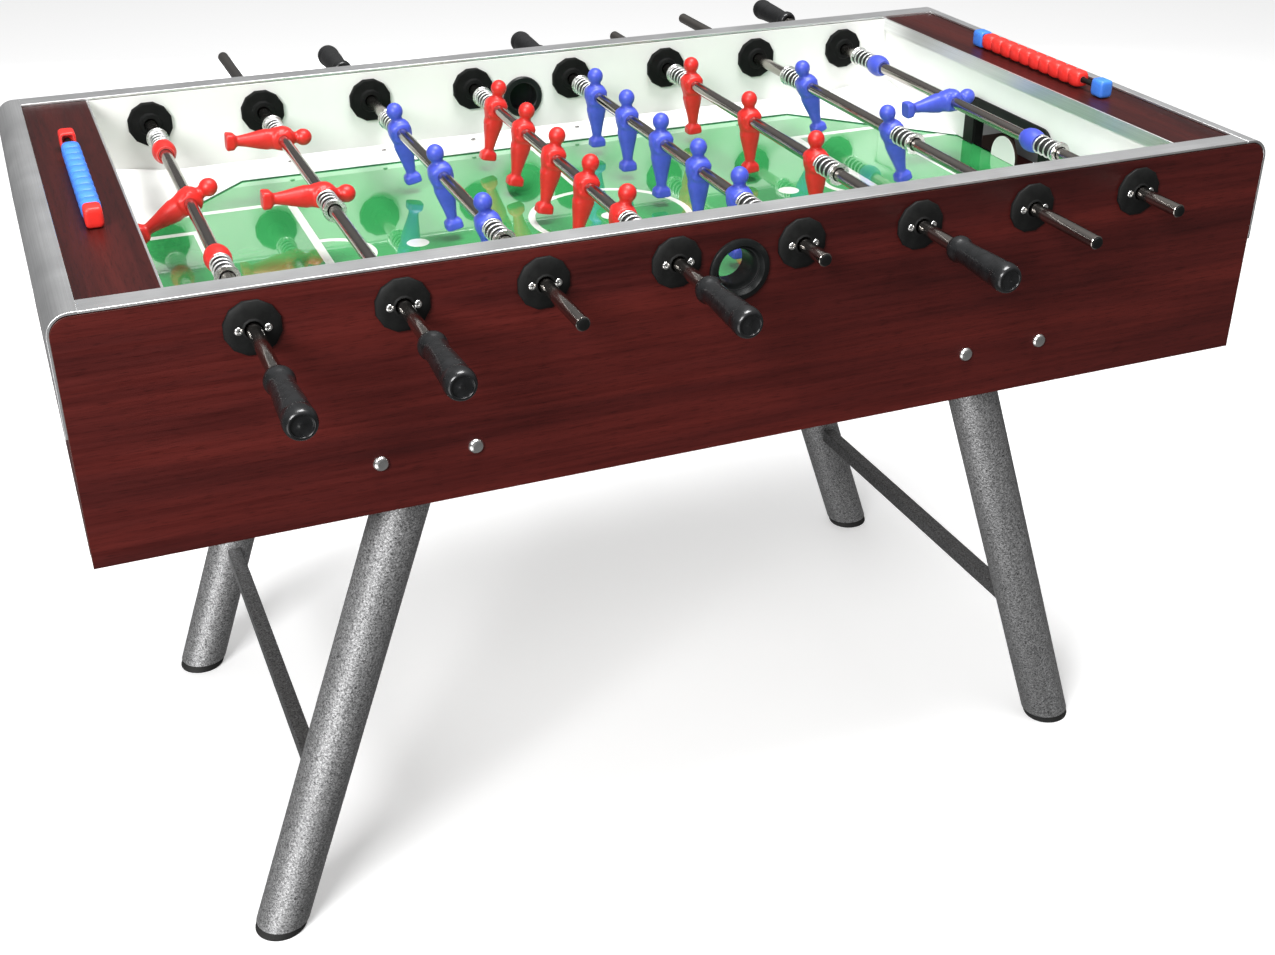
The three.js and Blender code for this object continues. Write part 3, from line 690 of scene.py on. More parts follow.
def piece(name, shape, paint, body="cabinet", stands_for=(), bevel=0.0, at=None):
    """One named piece on a body. shape is (points, faces) or a finished mesh."""
    mesh = shape if isinstance(shape, bpy.types.Mesh) else make_mesh(name, shape)
    if not mesh.materials:
        mesh.materials.append(paint)
    made = bpy.data.objects.new(name, mesh)
    scene.collection.objects.link(made)
    made.matrix_world = Matrix.Translation((0, MID_Y, 0)) @ (at or Matrix.Identity(4))
    if bevel:
        modifier = made.modifiers.new("bevel", "BEVEL")
        modifier.width = bevel * MM
        modifier.segments = 2
        modifier.limit_method = "ANGLE"
        modifier.angle_limit = math.radians(35)
        modifier.use_clamp_overlap = True
    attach(made, body)
    if stands_for:
        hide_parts(*stands_for)
    return made


def shared(name, shape, paint, smooth_angle=38):
    """A painted mesh for several pieces."""
    mesh = make_mesh(name, shape, smooth_angle)
    mesh.materials.append(paint)
    return mesh


def repaint(made, paint, test):
    """Gives another material to the faces that test(centre in mm, normal) picks."""
    made.data.materials.append(paint)
    index = len(made.data.materials) - 1
    for face in made.data.polygons:
        if test(face.center / MM, face.normal):
            face.material_index = index


def placed(x, y, z, turn=None):
    """A place in the cabinet's millimetres, with an optional turn first."""
    return Matrix.Translation((x * MM, y * MM, z * MM)) @ (turn or Matrix.Identity(4))


def turn_about(axis, degrees):
    return Matrix.Rotation(math.radians(degrees), 4, axis)


SIDES = (("front", -1), ("back", 1))
ENDS = (("left", -1), ("right", 1))
rod_x = [joints[f"rod_{n}_spin"]["pos_m"][0] / MM for n in range(1, 9)]


# ------------------------------------------------------------------ cabinet

def add_side_panels():
    holes = [circle(x, ROD_Z, ROD_HOLE_RADIUS, 28) for x in rod_x]
    holes.append(circle(0, CUP_Z, CUP_HOLE_RADIUS))
    for sign in (-1, 1):
        holes += [circle(sign * x, LEG_BOLT_Z, BOLT_HOLE_RADIUS, 16) for x in LEG_BOLTS_X]
    outline = arched(HALF_LENGTH - 0.8, PANEL_CORNER - 0.8, PANEL_TOP, PANEL_BOTTOM)
    for side, sign in SIDES:
        board = upright_y(outline, holes, sign, INNER_Y + LINING, HALF_WIDTH)
        piece(
            f"{side}_side_panel_board", board, WOOD_LONG,
            stands_for=[f"{side}_side_panel"], bevel=0.5,
        )
        lining = upright_y(outline, holes, sign, INNER_Y, INNER_Y + LINING)
        piece(f"{side}_inner_lining", lining, WHITE, bevel=0.3)


def add_end_panels():
    inner_x, outer_x = HALF_LENGTH - PANEL_THICKNESS, HALF_LENGTH - 0.4
    half, slot_half = INNER_FACE, RETURN_HALF_WIDTH
    edge = arc(HALF_LENGTH - PANEL_CORNER - 0.4, PANEL_TOP - PANEL_CORNER, PANEL_CORNER, 0, 90, 10)
    above, full = [
        [(inner_x, bottom), (outer_x, bottom), *edge, (inner_x, PANEL_TOP)]
        for bottom in (RETURN_TOP, PANEL_BOTTOM)
    ]
    below = rectangle(inner_x, PANEL_BOTTOM, outer_x, RETURN_BOTTOM)
    bands = (
        (full, -half, -slot_half), (below, -slot_half, slot_half),
        (above, -slot_half, slot_half), (full, slot_half, half),
    )
    panel = joined([facing_y(plate(outline, [], *depth)) for outline, *depth in bands])
    for end, sign in ENDS:
        piece(
            f"{end}_end_panel_board", weld_bands(matched(panel, sign, "XY")), WOOD_CROSS,
            stands_for=[f"{end}_end_panel"], bevel=0.4,
        )


def weld_bands(shape):
    """Joins solids that share whole faces by dropping each shared pair of faces."""
    points, faces = shape
    key = [tuple(round(c, 2) for c in point) for point in points]
    seen = {}
    for face in faces:
        seen.setdefault(frozenset(key[k] for k in face), []).append(face)
    return points, [face for group in seen.values() if len(group) == 1 for face in group]


def add_rim():
    start_x = DECK_X[1] + FIT_GAP
    centre_x = HALF_LENGTH - PANEL_CORNER
    end_x = RIM_END_X - 1.3
    outer = end_x - centre_x
    centre_z = RIM_TOP - outer
    section = [(start_x, RIM_TOP - RIM_THICKNESS)]
    section += arc(centre_x, centre_z, outer - RIM_THICKNESS, 90, 0, 16)[:-1]
    section += [(end_x - RIM_THICKNESS, RIM_BOTTOM), (end_x, RIM_BOTTOM)]
    section += arc(centre_x, centre_z, outer, 0, 90, 16) + [(start_x, RIM_TOP)]
    for end, sign in ENDS:
        shape = matched(facing_y(plate(section, [], -HALF_WIDTH, HALF_WIDTH)), sign, "XY")
        piece(f"{end}_rolled_rim", shape, RIM_CROSS, bevel=0.5)
    for side, sign in SIDES:
        y0, y1 = sorted((sign * INNER_Y, sign * HALF_WIDTH))
        strip = box(-start_x, y0, RIM_TOP - RIM_THICKNESS, start_x, y1, RIM_TOP)
        replaced = ["top_rim"] if side == "front" else []
        made = piece(
            f"{side}_rim_strip", strip, RIM_LONG,
            stands_for=replaced, bevel=0.5,
        )
        # Painted highlight: the strip's side faces get the brighter aluminium.
        repaint(made, RIM_HIGHLIGHT, lambda centre, normal: abs(normal.y) > 0.9)


def add_decks():
    inner_x, outer_x = DECK_X
    half = INNER_FACE
    for end, sign in ENDS:
        board = box(inner_x + 2.7, -half, DECK_TOP - 12, outer_x - FIT_GAP, half, DECK_TOP - FIT_GAP)
        leaf = box(inner_x, -half, DECK_TOP - 18, inner_x + 2.5, half, DECK_TOP)
        # The deck boards take the darkened mahogany: painted shade.
        piece(
            f"{end}_deck_board", matched(board, sign, "X"), WOOD_DECK_SHADED,
            stands_for=[f"{end}_deck"], bevel=0.6,
        )
        leaf = matched(leaf, sign, "X")
        made = piece(f"{end}_deck_fascia", leaf, RIM_CROSS, bevel=0.4)
        # Painted highlight: the fascia's top face gets the brighter aluminium.
        repaint(made, RIM_HIGHLIGHT, lambda centre, normal: normal.z > 0.9)


add_side_panels()
add_end_panels()
add_rim()
add_decks()


# ------------------------------------------------------------------ score counters

def counter_post():
    """A rounded post that opens towards +Y, where its rail comes out."""
    sections = (  # y, half size
        (-12.0, 5.5), (-11.7, 8.2), (-10.8, 9.9), (-8.6, 11.0), (8.6, 11.0),
        (10.9, 10.5), (11.8, 9.6), (12.0, 8.6), (11.6, 7.5), (3.5, 7.0),
    )
    rings = [ring_xz(0.94 * y, 0.88 * half, 1.04 * half, 40, 4.6) for y, half in sections]
    return loft(rings)


def bead(length):
    """One counter bead: a rounded square with a waist at each end and a round bore."""
    sections = (
        (-0.5, 8.0), (-0.42, 9.3), (-0.24, 10.8), (0.0, 11.0), (0.24, 10.8), (0.42, 9.3), (0.5, 8.0),
    )
    rings = [ring_xz(y * length, half, half, 32, 3.2) for y, half in sections]
    rings += [ring_xz(y * length, 4.3, 4.3, 32) for y in (0.5, -0.5)]
    return loft(rings, closed=True)


def add_counters():
    red = COUNTER_RED, "red_plastic"
    blue = COUNTER_BLUE, "blue_plastic"
    for end, sign in ENDS:
        (post_paint, post_slot), (bead_paint, bead_slot) = (red, blue) if sign < 0 else (blue, red)
        low, high = cad(f"{end}_score_beads")
        centre_z = (low.z + high.z) / 2
        for side, where in SIDES:
            post = matched(counter_post(), -where, "Y")
            post = moved(post, sign * SCORE_X, where * SCORE_POST_Y, centre_z - 0.1)
            piece(f"{end}_counter_{side}_post", post, post_paint)
        reach = SCORE_POST_Y - 2
        rail = lathe([(1e-4, -reach), (3.5, -reach), (3.5, reach), (1e-4, reach)], 24)
        piece(f"{end}_counter_rail", moved(rail, sign * SCORE_X, 0, centre_z), BLACK)
        pitch = (high.y - low.y) / BEADS
        mesh = shared(f"{end}_bead", bead(pitch - 0.15), bead_paint, 60)
        for k in range(BEADS):
            made = piece(
                f"{end}_bead_{k + 1}", mesh, bead_paint, body=f"{end}_counter",
                at=placed(sign * SCORE_X, low.y + (k + 0.5) * pitch, centre_z),
            )
            if k == 0:
                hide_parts(f"{end}_score_beads")


add_counters()


# ------------------------------------------------------------------ playing field

def ring_plate(x, y, radius, width, low, high, start=0, end=360):
    """A flat ring, or a part of one between two angles."""
    if end - start == 360:
        return plate(circle(x, y, radius, 96), [circle(x, y, radius - width, 96)], low, high)
    steps = max(8, int((end - start) / 4))
    outer = arc(x, y, radius, start, end, steps)
    inner = arc(x, y, radius - width, end, start, steps)
    return plate(outer + inner, [], low, high)


def field_octagon(inset):
    """The visible field's corners, moved in by inset."""
    slope = math.hypot(END_WALL_X - CORNER_X, EDGE_Y - MOUTH_Y)
    shift = inset * (slope - (END_WALL_X - CORNER_X)) / (EDGE_Y - MOUTH_Y)
    y, x, mouth = EDGE_Y - inset, CORNER_X - shift, MOUTH_Y - inset * 1.3
    quarter = [(x, y), (END_WALL_X, mouth)]
    right = [(x, -y), (END_WALL_X, -mouth), *reversed(quarter)]
    left = [(-a, b) for a, b in right]
    return right + left[::-1]


def add_field():
    half_x, half_y = field_high.x, field_high.y
    board = box(-half_x, -half_y, field_low.z, half_x, half_y, FIELD_TOP - 3)
    piece("field_base_board", board, BOARD, bevel=0.4)
    sheet = box(-half_x, -half_y, FIELD_TOP - 2.9, half_x, half_y, FIELD_TOP)
    piece("field_green_sheet", sheet, GREEN, stands_for=["playfield"], bevel=0.2)
    edge = plate(field_octagon(0), [field_octagon(1.8)], FIELD_TOP, FIELD_TOP + 1.3)
    piece("field_glass_edge", edge, GLASS_EDGE)


def add_markings():
    low, high = FIELD_TOP - 0.4, FIELD_TOP + 0.06
    line, thin_line = 11.0, 9.0
    circle_radius = 107
    area_x, area_y = 380, 212
    goal_x, goal_y = 511, 145
    spot_x, spot_radius, centre_spot_radius = 258, 14, 13
    shapes = [
        ring_plate(0, 0, circle_radius, thin_line, low, high),
        plate(circle(0, 0, centre_spot_radius), [], low, high),
        plate(rectangle(-line / 2, circle_radius, line / 2, EDGE_Y - 2), [], low, high),
        plate(rectangle(-line / 2, -EDGE_Y + 2, line / 2, -circle_radius), [], low, high),
    ]
    arc_reach, arc_half = 69, 55
    arc_radius = (arc_reach ** 2 + arc_half ** 2) / (2 * arc_reach)
    arc_centre = area_x - arc_reach + arc_radius
    spread = math.degrees(math.acos((arc_centre - area_x + line - 0.5) / arc_radius))
    for sign in (-1, 1):
        quarter = [
            rectangle(area_x - line, -area_y, area_x, area_y),
            rectangle(area_x, area_y - line, END_WALL_X, area_y),
            rectangle(area_x, -area_y, END_WALL_X, -area_y + line),
            rectangle(goal_x - line, -goal_y, goal_x, goal_y),
            rectangle(goal_x, goal_y - line, END_WALL_X, goal_y),
            rectangle(goal_x, -goal_y, END_WALL_X, -goal_y + line),
            circle(spot_x, 0, spot_radius),
        ]
        half = [plate(outline, [], low, high) for outline in quarter]
        half.append(ring_plate(
            arc_centre, 0, arc_radius, thin_line, low, high + 0.03, 180 - spread, 180 + spread,
        ))
        shapes += [matched(shape, sign, "X") for shape in half]
    for k, shape in enumerate(shapes):
        piece(f"field_marking_{k + 1}", shape, WHITE_LINE)


def wedge(low_edge, high_points, rise, edge_height=1.5):
    """A ramp lying on the field, from a thin low edge up to high points at the wall."""
    bm = bmesh.new()
    for points, height in ((low_edge, edge_height), (high_points, rise)):
        for x, y in points:
            bm.verts.new((x, y, FIELD_BASE))
            bm.verts.new((x, y, FIELD_BASE + height))
    bmesh.ops.convex_hull(bm, input=bm.verts[:])
    return taken_from(bm)


def screw_head(radius, height):
    """A domed screw head with a round recess, facing +Y."""
    profile = [
        (1e-4, -0.5), (radius, -0.5), (radius, 0.25 * height), (0.86 * radius, 0.7 * height),
        (0.55 * radius, height), (0.40 * radius, height), (0.34 * radius, 0.35 * height),
        (1e-4, 0.3 * height),
    ]
    return lathe(rounded(profile, 0.25, 3), 28)


def add_surround():
    wall_y, end_x = INNER_Y - 0.5, END_WALL_X - 0.4
    cut = (END_WALL_X - CORNER_X) / (EDGE_Y - MOUTH_Y)
    start_x = CORNER_X - (wall_y - EDGE_Y) * cut
    screw = shared("strip_screw", screw_head(3.4, 1.2), STRIP_SCREW)
    for side, sign in SIDES:
        edge, wall = [[(-end_x, sign * y), (end_x, sign * y)] for y in (EDGE_Y, wall_y)]
        strip = wedge(edge, wall, SIDE_RAMP_RISE)
        piece(f"{side}_side_ramp", strip, WHITE_RAMP, bevel=0.4)
        tilt = turn_about("X", 90 - sign * RAMP_TILT)
        for k, x in enumerate(RAMP_SCREWS_X):
            piece(
                f"{side}_ramp_screw_{k + 1}", screw, STRIP_SCREW,
                at=placed(x, sign * RAMP_SCREW_Y, FIELD_TOP + RAMP_SCREW_RISE, tilt),
            )
        for end, way in ENDS:
            low = [(way * start_x, sign * wall_y), (way * end_x, sign * MOUTH_Y)]
            corner = wedge(low, [(way * end_x, sign * wall_y)], CORNER_RAMP_RISE)
            piece(f"{end}_{side}_corner_ramp", corner, WHITE_RAMP, bevel=0.4)
    opening, lintel = MOUTH_HALF_WIDTH + MOUTH_CLEARANCE, MOUTH_TOP + MOUTH_CLEARANCE
    top = deck_low.z + 5.4
    outline = [
        (-wall_y, FIELD_BASE), (-opening, FIELD_BASE), (-opening, lintel),
        (opening, lintel), (opening, FIELD_BASE), (wall_y, FIELD_BASE),
        (wall_y, top), (-wall_y, top),
    ]
    for end, sign in ENDS:
        wall = upright_x(outline, sign, END_WALL_X, END_WALL_X + END_WALL_THICKNESS)
        replaced = ["field_surround"] if sign < 0 else []
        piece(f"{end}_end_wall", wall, WHITE_RAMP, stands_for=replaced, bevel=0.3)


def goal_section(section, sign):
    """An XZ outline from a pocket's (depth behind the wall's face, z) section."""
    return [(sign * (END_WALL_X + x), z) for x, z in section]


def add_goals():
    half, corner, base = GOAL_HALF_WIDTH, 22.0, FIELD_BASE
    frame_outline = arched(half, corner, GOAL_TOP, base)[1:] + [
        (-half, base), (-MOUTH_HALF_WIDTH, base), (-MOUTH_HALF_WIDTH, MOUTH_TOP),
        (MOUTH_HALF_WIDTH, MOUTH_TOP), (MOUTH_HALF_WIDTH, base),
    ]
    front = END_WALL_X - GOAL_FRAME_DEPTH
    jamb, bend, end_x = 14.0, 53.0, 78.4
    kick = 764.0
    floor_end = RETURN_BOTTOM + 3
    sections = {
        # The roof's grey is painted shade.
        "roof": (GOAL_SHADE_GREY, [
            (0, MOUTH_TOP), (bend, MOUTH_TOP), (end_x, RETURN_TOP), (end_x, RETURN_TOP + 5),
            (bend, MOUTH_TOP + 3.5), (0, MOUTH_TOP + 3.5),
        ]),
        # The pocket floor is black plastic that stands in for the shade at the pocket's bottom: painted shade.
        "floor": (BLACK, [
            (0.5, base - GOAL_WALL_THICKNESS), (end_x, floor_end - GOAL_WALL_THICKNESS),
            (end_x, floor_end), (4, base - 0.2), (0.5, base - 0.2),
        ]),
    }
    walls = {
        "jamb": (BLACK, [(0, base), (jamb, base - 6), (jamb, MOUTH_TOP), (0, MOUTH_TOP)]),
        # The cheeks' grey is painted shade.
        "cheek": (GOAL_SHADE_GREY, [(jamb, kick), (end_x, kick), (bend, MOUTH_TOP), (jamb, MOUTH_TOP)]),
        # The kick board's near-black brown is partly painted shade.
        "kick_board": (RAW_EDGE_SHADED, [
            (jamb, base - 6), (end_x, floor_end), (end_x, RETURN_TOP), (end_x - 15, kick), (jamb, kick),
        ]),
    }
    stop = [
        (GOAL_STOP_RADIUS, base), *arc(0, GOAL_STOP_Z, GOAL_STOP_RADIUS, 0, 180, 32),
        (-GOAL_STOP_RADIUS, base),
    ]
    for end, sign in ENDS:
        frame_shape = upright_x(frame_outline, sign, END_WALL_X - FIT_GAP, front)
        piece(
            f"{end}_goal_frame", frame_shape, BLACK,
            stands_for=[f"{end}_goal"], bevel=1.0,
        )
        for name, (paint, section) in sections.items():
            across = plate(goal_section(section, sign), [], -MOUTH_HALF_WIDTH, MOUTH_HALF_WIDTH)
            piece(f"{end}_goal_{name}", facing_y(across), paint, bevel=0.4)
        for side, where in SIDES:
            for name, (paint, section) in walls.items():
                wall = upright_y(
                    goal_section(section, sign), [], where,
                    MOUTH_HALF_WIDTH, MOUTH_HALF_WIDTH + GOAL_WALL_THICKNESS,
                )
                piece(f"{end}_goal_{side}_{name}", wall, paint, bevel=0.3)
        # The stop board's dark edge is brown board with painted shade.
        board = upright_x(stop, sign, front + 0.8, front + 5.0)
        piece(f"{end}_goal_stop_board", board, RAW_EDGE_SHADED, bevel=0.3)
        skin = upright_x(stop, sign, front, front + 0.8)
        piece(f"{end}_goal_stop_face", skin, WHITE, bevel=0.2)


def add_cups():
    outer, inner = OUTER_FACE, INNER_FACE
    profile = [
        (28.5, outer + 5.5), (33.5, outer + 5.0), (35.5, outer + 3.4), (35.5, outer), (24, outer),
        (24, inner), (29, inner), (29, inner - 4.0), (27.6, inner - 5.5), (21.5, inner - 5.5),
        (20.3, inner - 4.5), (20.3, outer - 10), (22.5, outer - 4), (26.8, outer + 3.5),
        (28.5, outer + 5.5),
    ]
    for side, sign in SIDES:
        shape = matched(lathe(profile, 64), sign, "Y")
        piece(
            f"{side}_serving_cup", moved(shape, 0, 0, CUP_Z), BLACK_CUP,
            stands_for=[f"{side}_ball_cup"],
        )
    cup_floor = [
        (1e-4, outer - 9.2), (9, outer - 9.6), (20.3, outer - 9.0), (20.3, outer - 12.0),
        (12, outer - 11.6), (1e-4, outer - 10.6),
    ]
    cup_floor = moved(lathe(cup_floor, 48), 0, 0, CUP_Z)
    piece("back_serving_cup_floor", cup_floor, BLACK_CUP)


add_field()
add_markings()
add_surround()
add_goals()
add_cups()


# ------------------------------------------------------------------ bearings

def add_bearings():
    outer, inner = OUTER_FACE, INNER_FACE
    flange = lathe([
        (8.7, outer + 6.2), (9.2, outer + 8.3), (10.6, outer + 8.3), (11.2, outer + 7.2),
        (21.0, outer + 6.2), (28.2, outer + 4.2), (29.5, outer + 2.8), (29.5, outer), (8.7, outer),
        (8.7, outer + 6.2),
    ], 12)
    nut = lathe([
        (8.7, outer - 0.2), (12.6, outer - 0.2), (12.6, inner), (29.5, inner), (29.5, inner - 6.4),
        (28.2, inner - 7.7), (16.0, inner - 8.4), (14.4, inner - 11.0), (9.6, inner - 11.6),
        (8.7, inner - 11.0), (8.7, outer - 0.2),
    ], 12)
    screw_at = outer + 6.2
    solids = (
        ("flange", flange, BLACK),
        ("nut", nut, BLACK_NUT),
        ("screw", screw_head(4.3, 2.0), ZINC),
    )
    for side, sign in SIDES:
        parts = {}
        for name, shape, paint in solids:
            parts[name] = shared(f"{side}_bearing_{name}", matched(shape, sign, "Y"), paint)
        for n, x in enumerate(rod_x, 1):
            flat_down = placed(x, 0, ROD_Z, turn_about("Y", 15))
            piece(
                f"rod_{n}_{side}_flange", parts["flange"], BLACK,
                stands_for=[f"rod_{n}_{side}_bearing"], bevel=0.7, at=flat_down,
            )
            piece(
                f"rod_{n}_{side}_nut", parts["nut"], BLACK_NUT,
                bevel=0.9, at=flat_down,
            )
            for way, shift in (("left", -1), ("right", 1)):
                piece(
                    f"rod_{n}_{side}_{way}_screw", parts["screw"], ZINC,
                    at=placed(x + BEARING_SCREW_REACH * shift, sign * screw_at, ROD_Z),
                )


add_bearings()


# ------------------------------------------------------------------ rods and figures

def sections_z(sections, sides=28):
    """A loft up the Z axis through (height, half depth, half width, squareness) sections."""
    rings = []
    for z, depth, width, power in sections:
        rings.append([(x, y, up) for x, up, y in ring_xz(z, depth, width, sides, power)])
    return loft(rings)


def ball(x, y, z, half_x, half_y, half_z, steps=12):
    """A closed round form about a point, for blending into others."""
    sections = []
    for k in range(steps + 1):
        a = math.pi * k / steps
        share = max(math.sin(a), 0.02)
        sections.append((half_z * math.cos(a), half_x * share, half_y * share, 2.0))
    return moved(sections_z(sections, 24), x, y, z)


def figure_shape():
    """The solids that blend into one figure about the rod's axis, boots down."""
    torso = sections_z((
        (15.5, 7.0, 8.0, 2.0), (13.2, 10.6, 10.6, 2.3), (9.0, 13.8, 12.4, 2.7),
        (3.0, 15.3, 13.0, 2.9), (-3.0, 15.3, 13.0, 2.9), (-9.0, 13.9, 12.6, 2.7),
        (-14.0, 12.7, 12.2, 2.5), (-20.0, 12.8, 12.2, 2.4), (-27.0, 12.2, 11.6, 2.4),
        (-36.0, 10.4, 10.2, 2.3), (-46.0, 8.3, 8.6, 2.2), (-57.0, 6.6, 7.0, 2.0), (-63.0, 7.0, 7.4, 2.0),
    ))
    boot = sections_z((
        (-58.5, 6.4, 6.6, 2.4), (-61.0, 9.0, 8.6, 3.2), (-63.2, 10.8, 10.0, 4.0),
        (-70.8, 11.2, 10.4, 4.4), (-72.3, 10.2, 9.6, 4.4),
    ))
    parts = [torso, boot, ball(0, 0, 27.4, 10.9, 10.7, 11.3)]
    parts.append(sections_z(((20.0, 7.0, 6.8, 2.0), (10.0, 8.4, 8.6, 2.0))))
    parts.append(lathe([(1e-4, -14), (9.8, -14), (10.6, -13), (10.6, 13), (9.8, 14), (1e-4, 14)], 32))
    for side in (-1, 1):
        parts.append(ball(0, side * 10.0, 5.0, 13.6, 4.8, 8.4))
        parts.append(ball(0, side * 10.2, -7.5, 12.4, 4.4, 7.0))
        parts.append(ball(side * 7.6, 0, -20.5, 5.6, 10.4, 8.6))
    return joined(parts)


def blended(name, shape, voxel, smoothing):
    """Merges overlapping solids into one smooth moulded skin."""
    source = bpy.data.objects.new(name, make_mesh(f"{name}_solids", shape))
    scene.collection.objects.link(source)
    remesh = source.modifiers.new("remesh", "REMESH")
    remesh.mode = "VOXEL"
    remesh.voxel_size = voxel * MM
    smooth = source.modifiers.new("smooth", "SMOOTH")
    smooth.factor = 0.5
    smooth.iterations = smoothing
    bpy.context.view_layer.update()
    evaluated = source.evaluated_get(bpy.context.evaluated_depsgraph_get())
    mesh = bpy.data.meshes.new_from_object(evaluated)
    mesh.name = name
    mesh.materials.clear()
    bpy.data.objects.remove(source)
    mesh.shade_smooth()
    return mesh


def bumper_shape():
    profile = (  # radius, share of the half length
        (8.3, -1), (11.5, -1), (12.4, -0.80), (14.3, -0.55), (15.0, -0.12), (14.9, 0.22),
        (13.6, 0.62), (11.6, 0.85), (11.0, 1), (8.3, 1), (8.3, -1),
    )
    return lathe([(radius, BUMPER_HALF * share) for radius, share in profile])


def spring_shape():
    """A wound spring about the Y axis, from y = 0, with one flat turn at each end."""
    wire, turns, steps = SPRING_WIRE, SPRING_TURNS, 22
    coil = 12.5 - wire
    length = SPRING_LENGTH - 2 * wire
    flat_turn = 0.75
    pad = 2.2 * wire
    centres = []
    for k in range(int(turns * steps) + 1):
        turn = k / steps
        started = min(turn / flat_turn, 1.0)
        ending = max((turn - turns + flat_turn) / flat_turn, 0.0)
        inside = min(max((turn - flat_turn) / (turns - 2 * flat_turn), 0.0), 1.0)
        y = wire + pad * (started + ending) + inside * (length - 2 * pad)
        angle = 2 * math.pi * turn
        centres.append((coil * math.cos(angle), y, coil * math.sin(angle)))
    return tube(centres, wire, 10)


def shade_sleeve_shape():
    """A thin black sleeve between a spring and its rod, from y = 0; it puts painted shade in the gaps of the coil.
    """
    end = SPRING_LENGTH - 0.6
    profile = [
        (7.8, 0.4), (9.2, 0.4), (9.6, 1.0), (9.6, end - 0.6), (9.2, end), (7.8, end), (7.8, 0.4),
    ]
    return lathe(profile, 32)


def washer_shape():
    profile = [
        (8.9, 0), (13.4, 0), (14, 0.7), (14, 3.0), (13.4, 3.7), (8.9, 3.7), (8.9, 0),
    ]
    return lathe(profile)


def handle_shape():
    """A grip about the Y axis, from its collar at y = 0 to its dished end."""
    skin = [
        (8.8, 0.0), (11.4, 0.0), (13.0, 1.2), (14.5, 4.0), (15.2, 7.6), (15.0, 10.6), (13.8, 13.6),
        (12.7, 16.6), (12.5, 21.0), (13.0, 33.0), (13.9, 48.0), (14.6, 63.0), (15.1, 76.0),
        (15.2, 82.0), (14.9, 84.5), (15.2, 87.0), (16.1, 91.0), (16.2, 95.5), (15.7, 99.6),
        (14.5, 102.9), (12.9, 104.8), (11.6, 105.3), (10.8, 104.9), (10.4, 103.8), (10.2, 102.8),
        (9.4, 102.5), (3.2, 102.3), (2.4, 103.0), (1e-4, 103.2),
    ]
    bore = [(1e-4, 60.0), (8.6, 60.0)]
    return lathe(bore + skin, 56)


def end_cap_shape():
    profile = [(1e-4, -6), (6.6, -6), (6.6, 0.4), (6.3, 1.6), (4.6, 2.2), (1e-4, 2.3)]
    return lathe(profile, 36)


TEAM_PAINT = {"red": RED, "blue": BLUE}
figure_mesh = {}
bumper_mesh = {}
for team, paint in TEAM_PAINT.items():
    figure_mesh[team] = blended(f"{team}_figure", figure_shape(), FIGURE_VOXEL, 2)
    figure_mesh[team].materials.append(paint)
    bumper_mesh[team] = shared(f"{team}_bumper", bumper_shape(), paint)
spring_mesh = shared("spring", spring_shape(), SPRING, 80)
shade_sleeve_mesh = shared("spring_shade_sleeve", shade_sleeve_shape(), RUBBER)
washer_mesh = shared("washer", washer_shape(), ZINC)
handle_mesh = shared("handle", handle_shape(), GRIP, 50)
cap_mesh = shared("rod_end_cap", end_cap_shape(), BLACK)


def rod_nodes():
    """The rods' CAD nodes from left to right, each with its team and its number of figures."""
    found = []
    slots = {part["node"]: part["material_slot"] for part in record["subparts"]}
    for n in range(1, 9):
        for role, figures in FIGURES.items():
            node = f"rod_{n}_{role}"
            if node in slots:
                found.append((n, node, slots[node].split("_")[0], figures))
    return found


def tube_shape(near, far):
    """An open tube about the Y axis between two ends, softened at its rims."""
    radius = ROD_RADIUS
    bore = 6.7
    profile = [
        (bore, near), (radius - 0.5, near), (radius, near + 0.6), (radius, far - 0.6),
        (radius - 0.5, far), (bore, far), (bore, near),
    ]
    return lathe(profile)


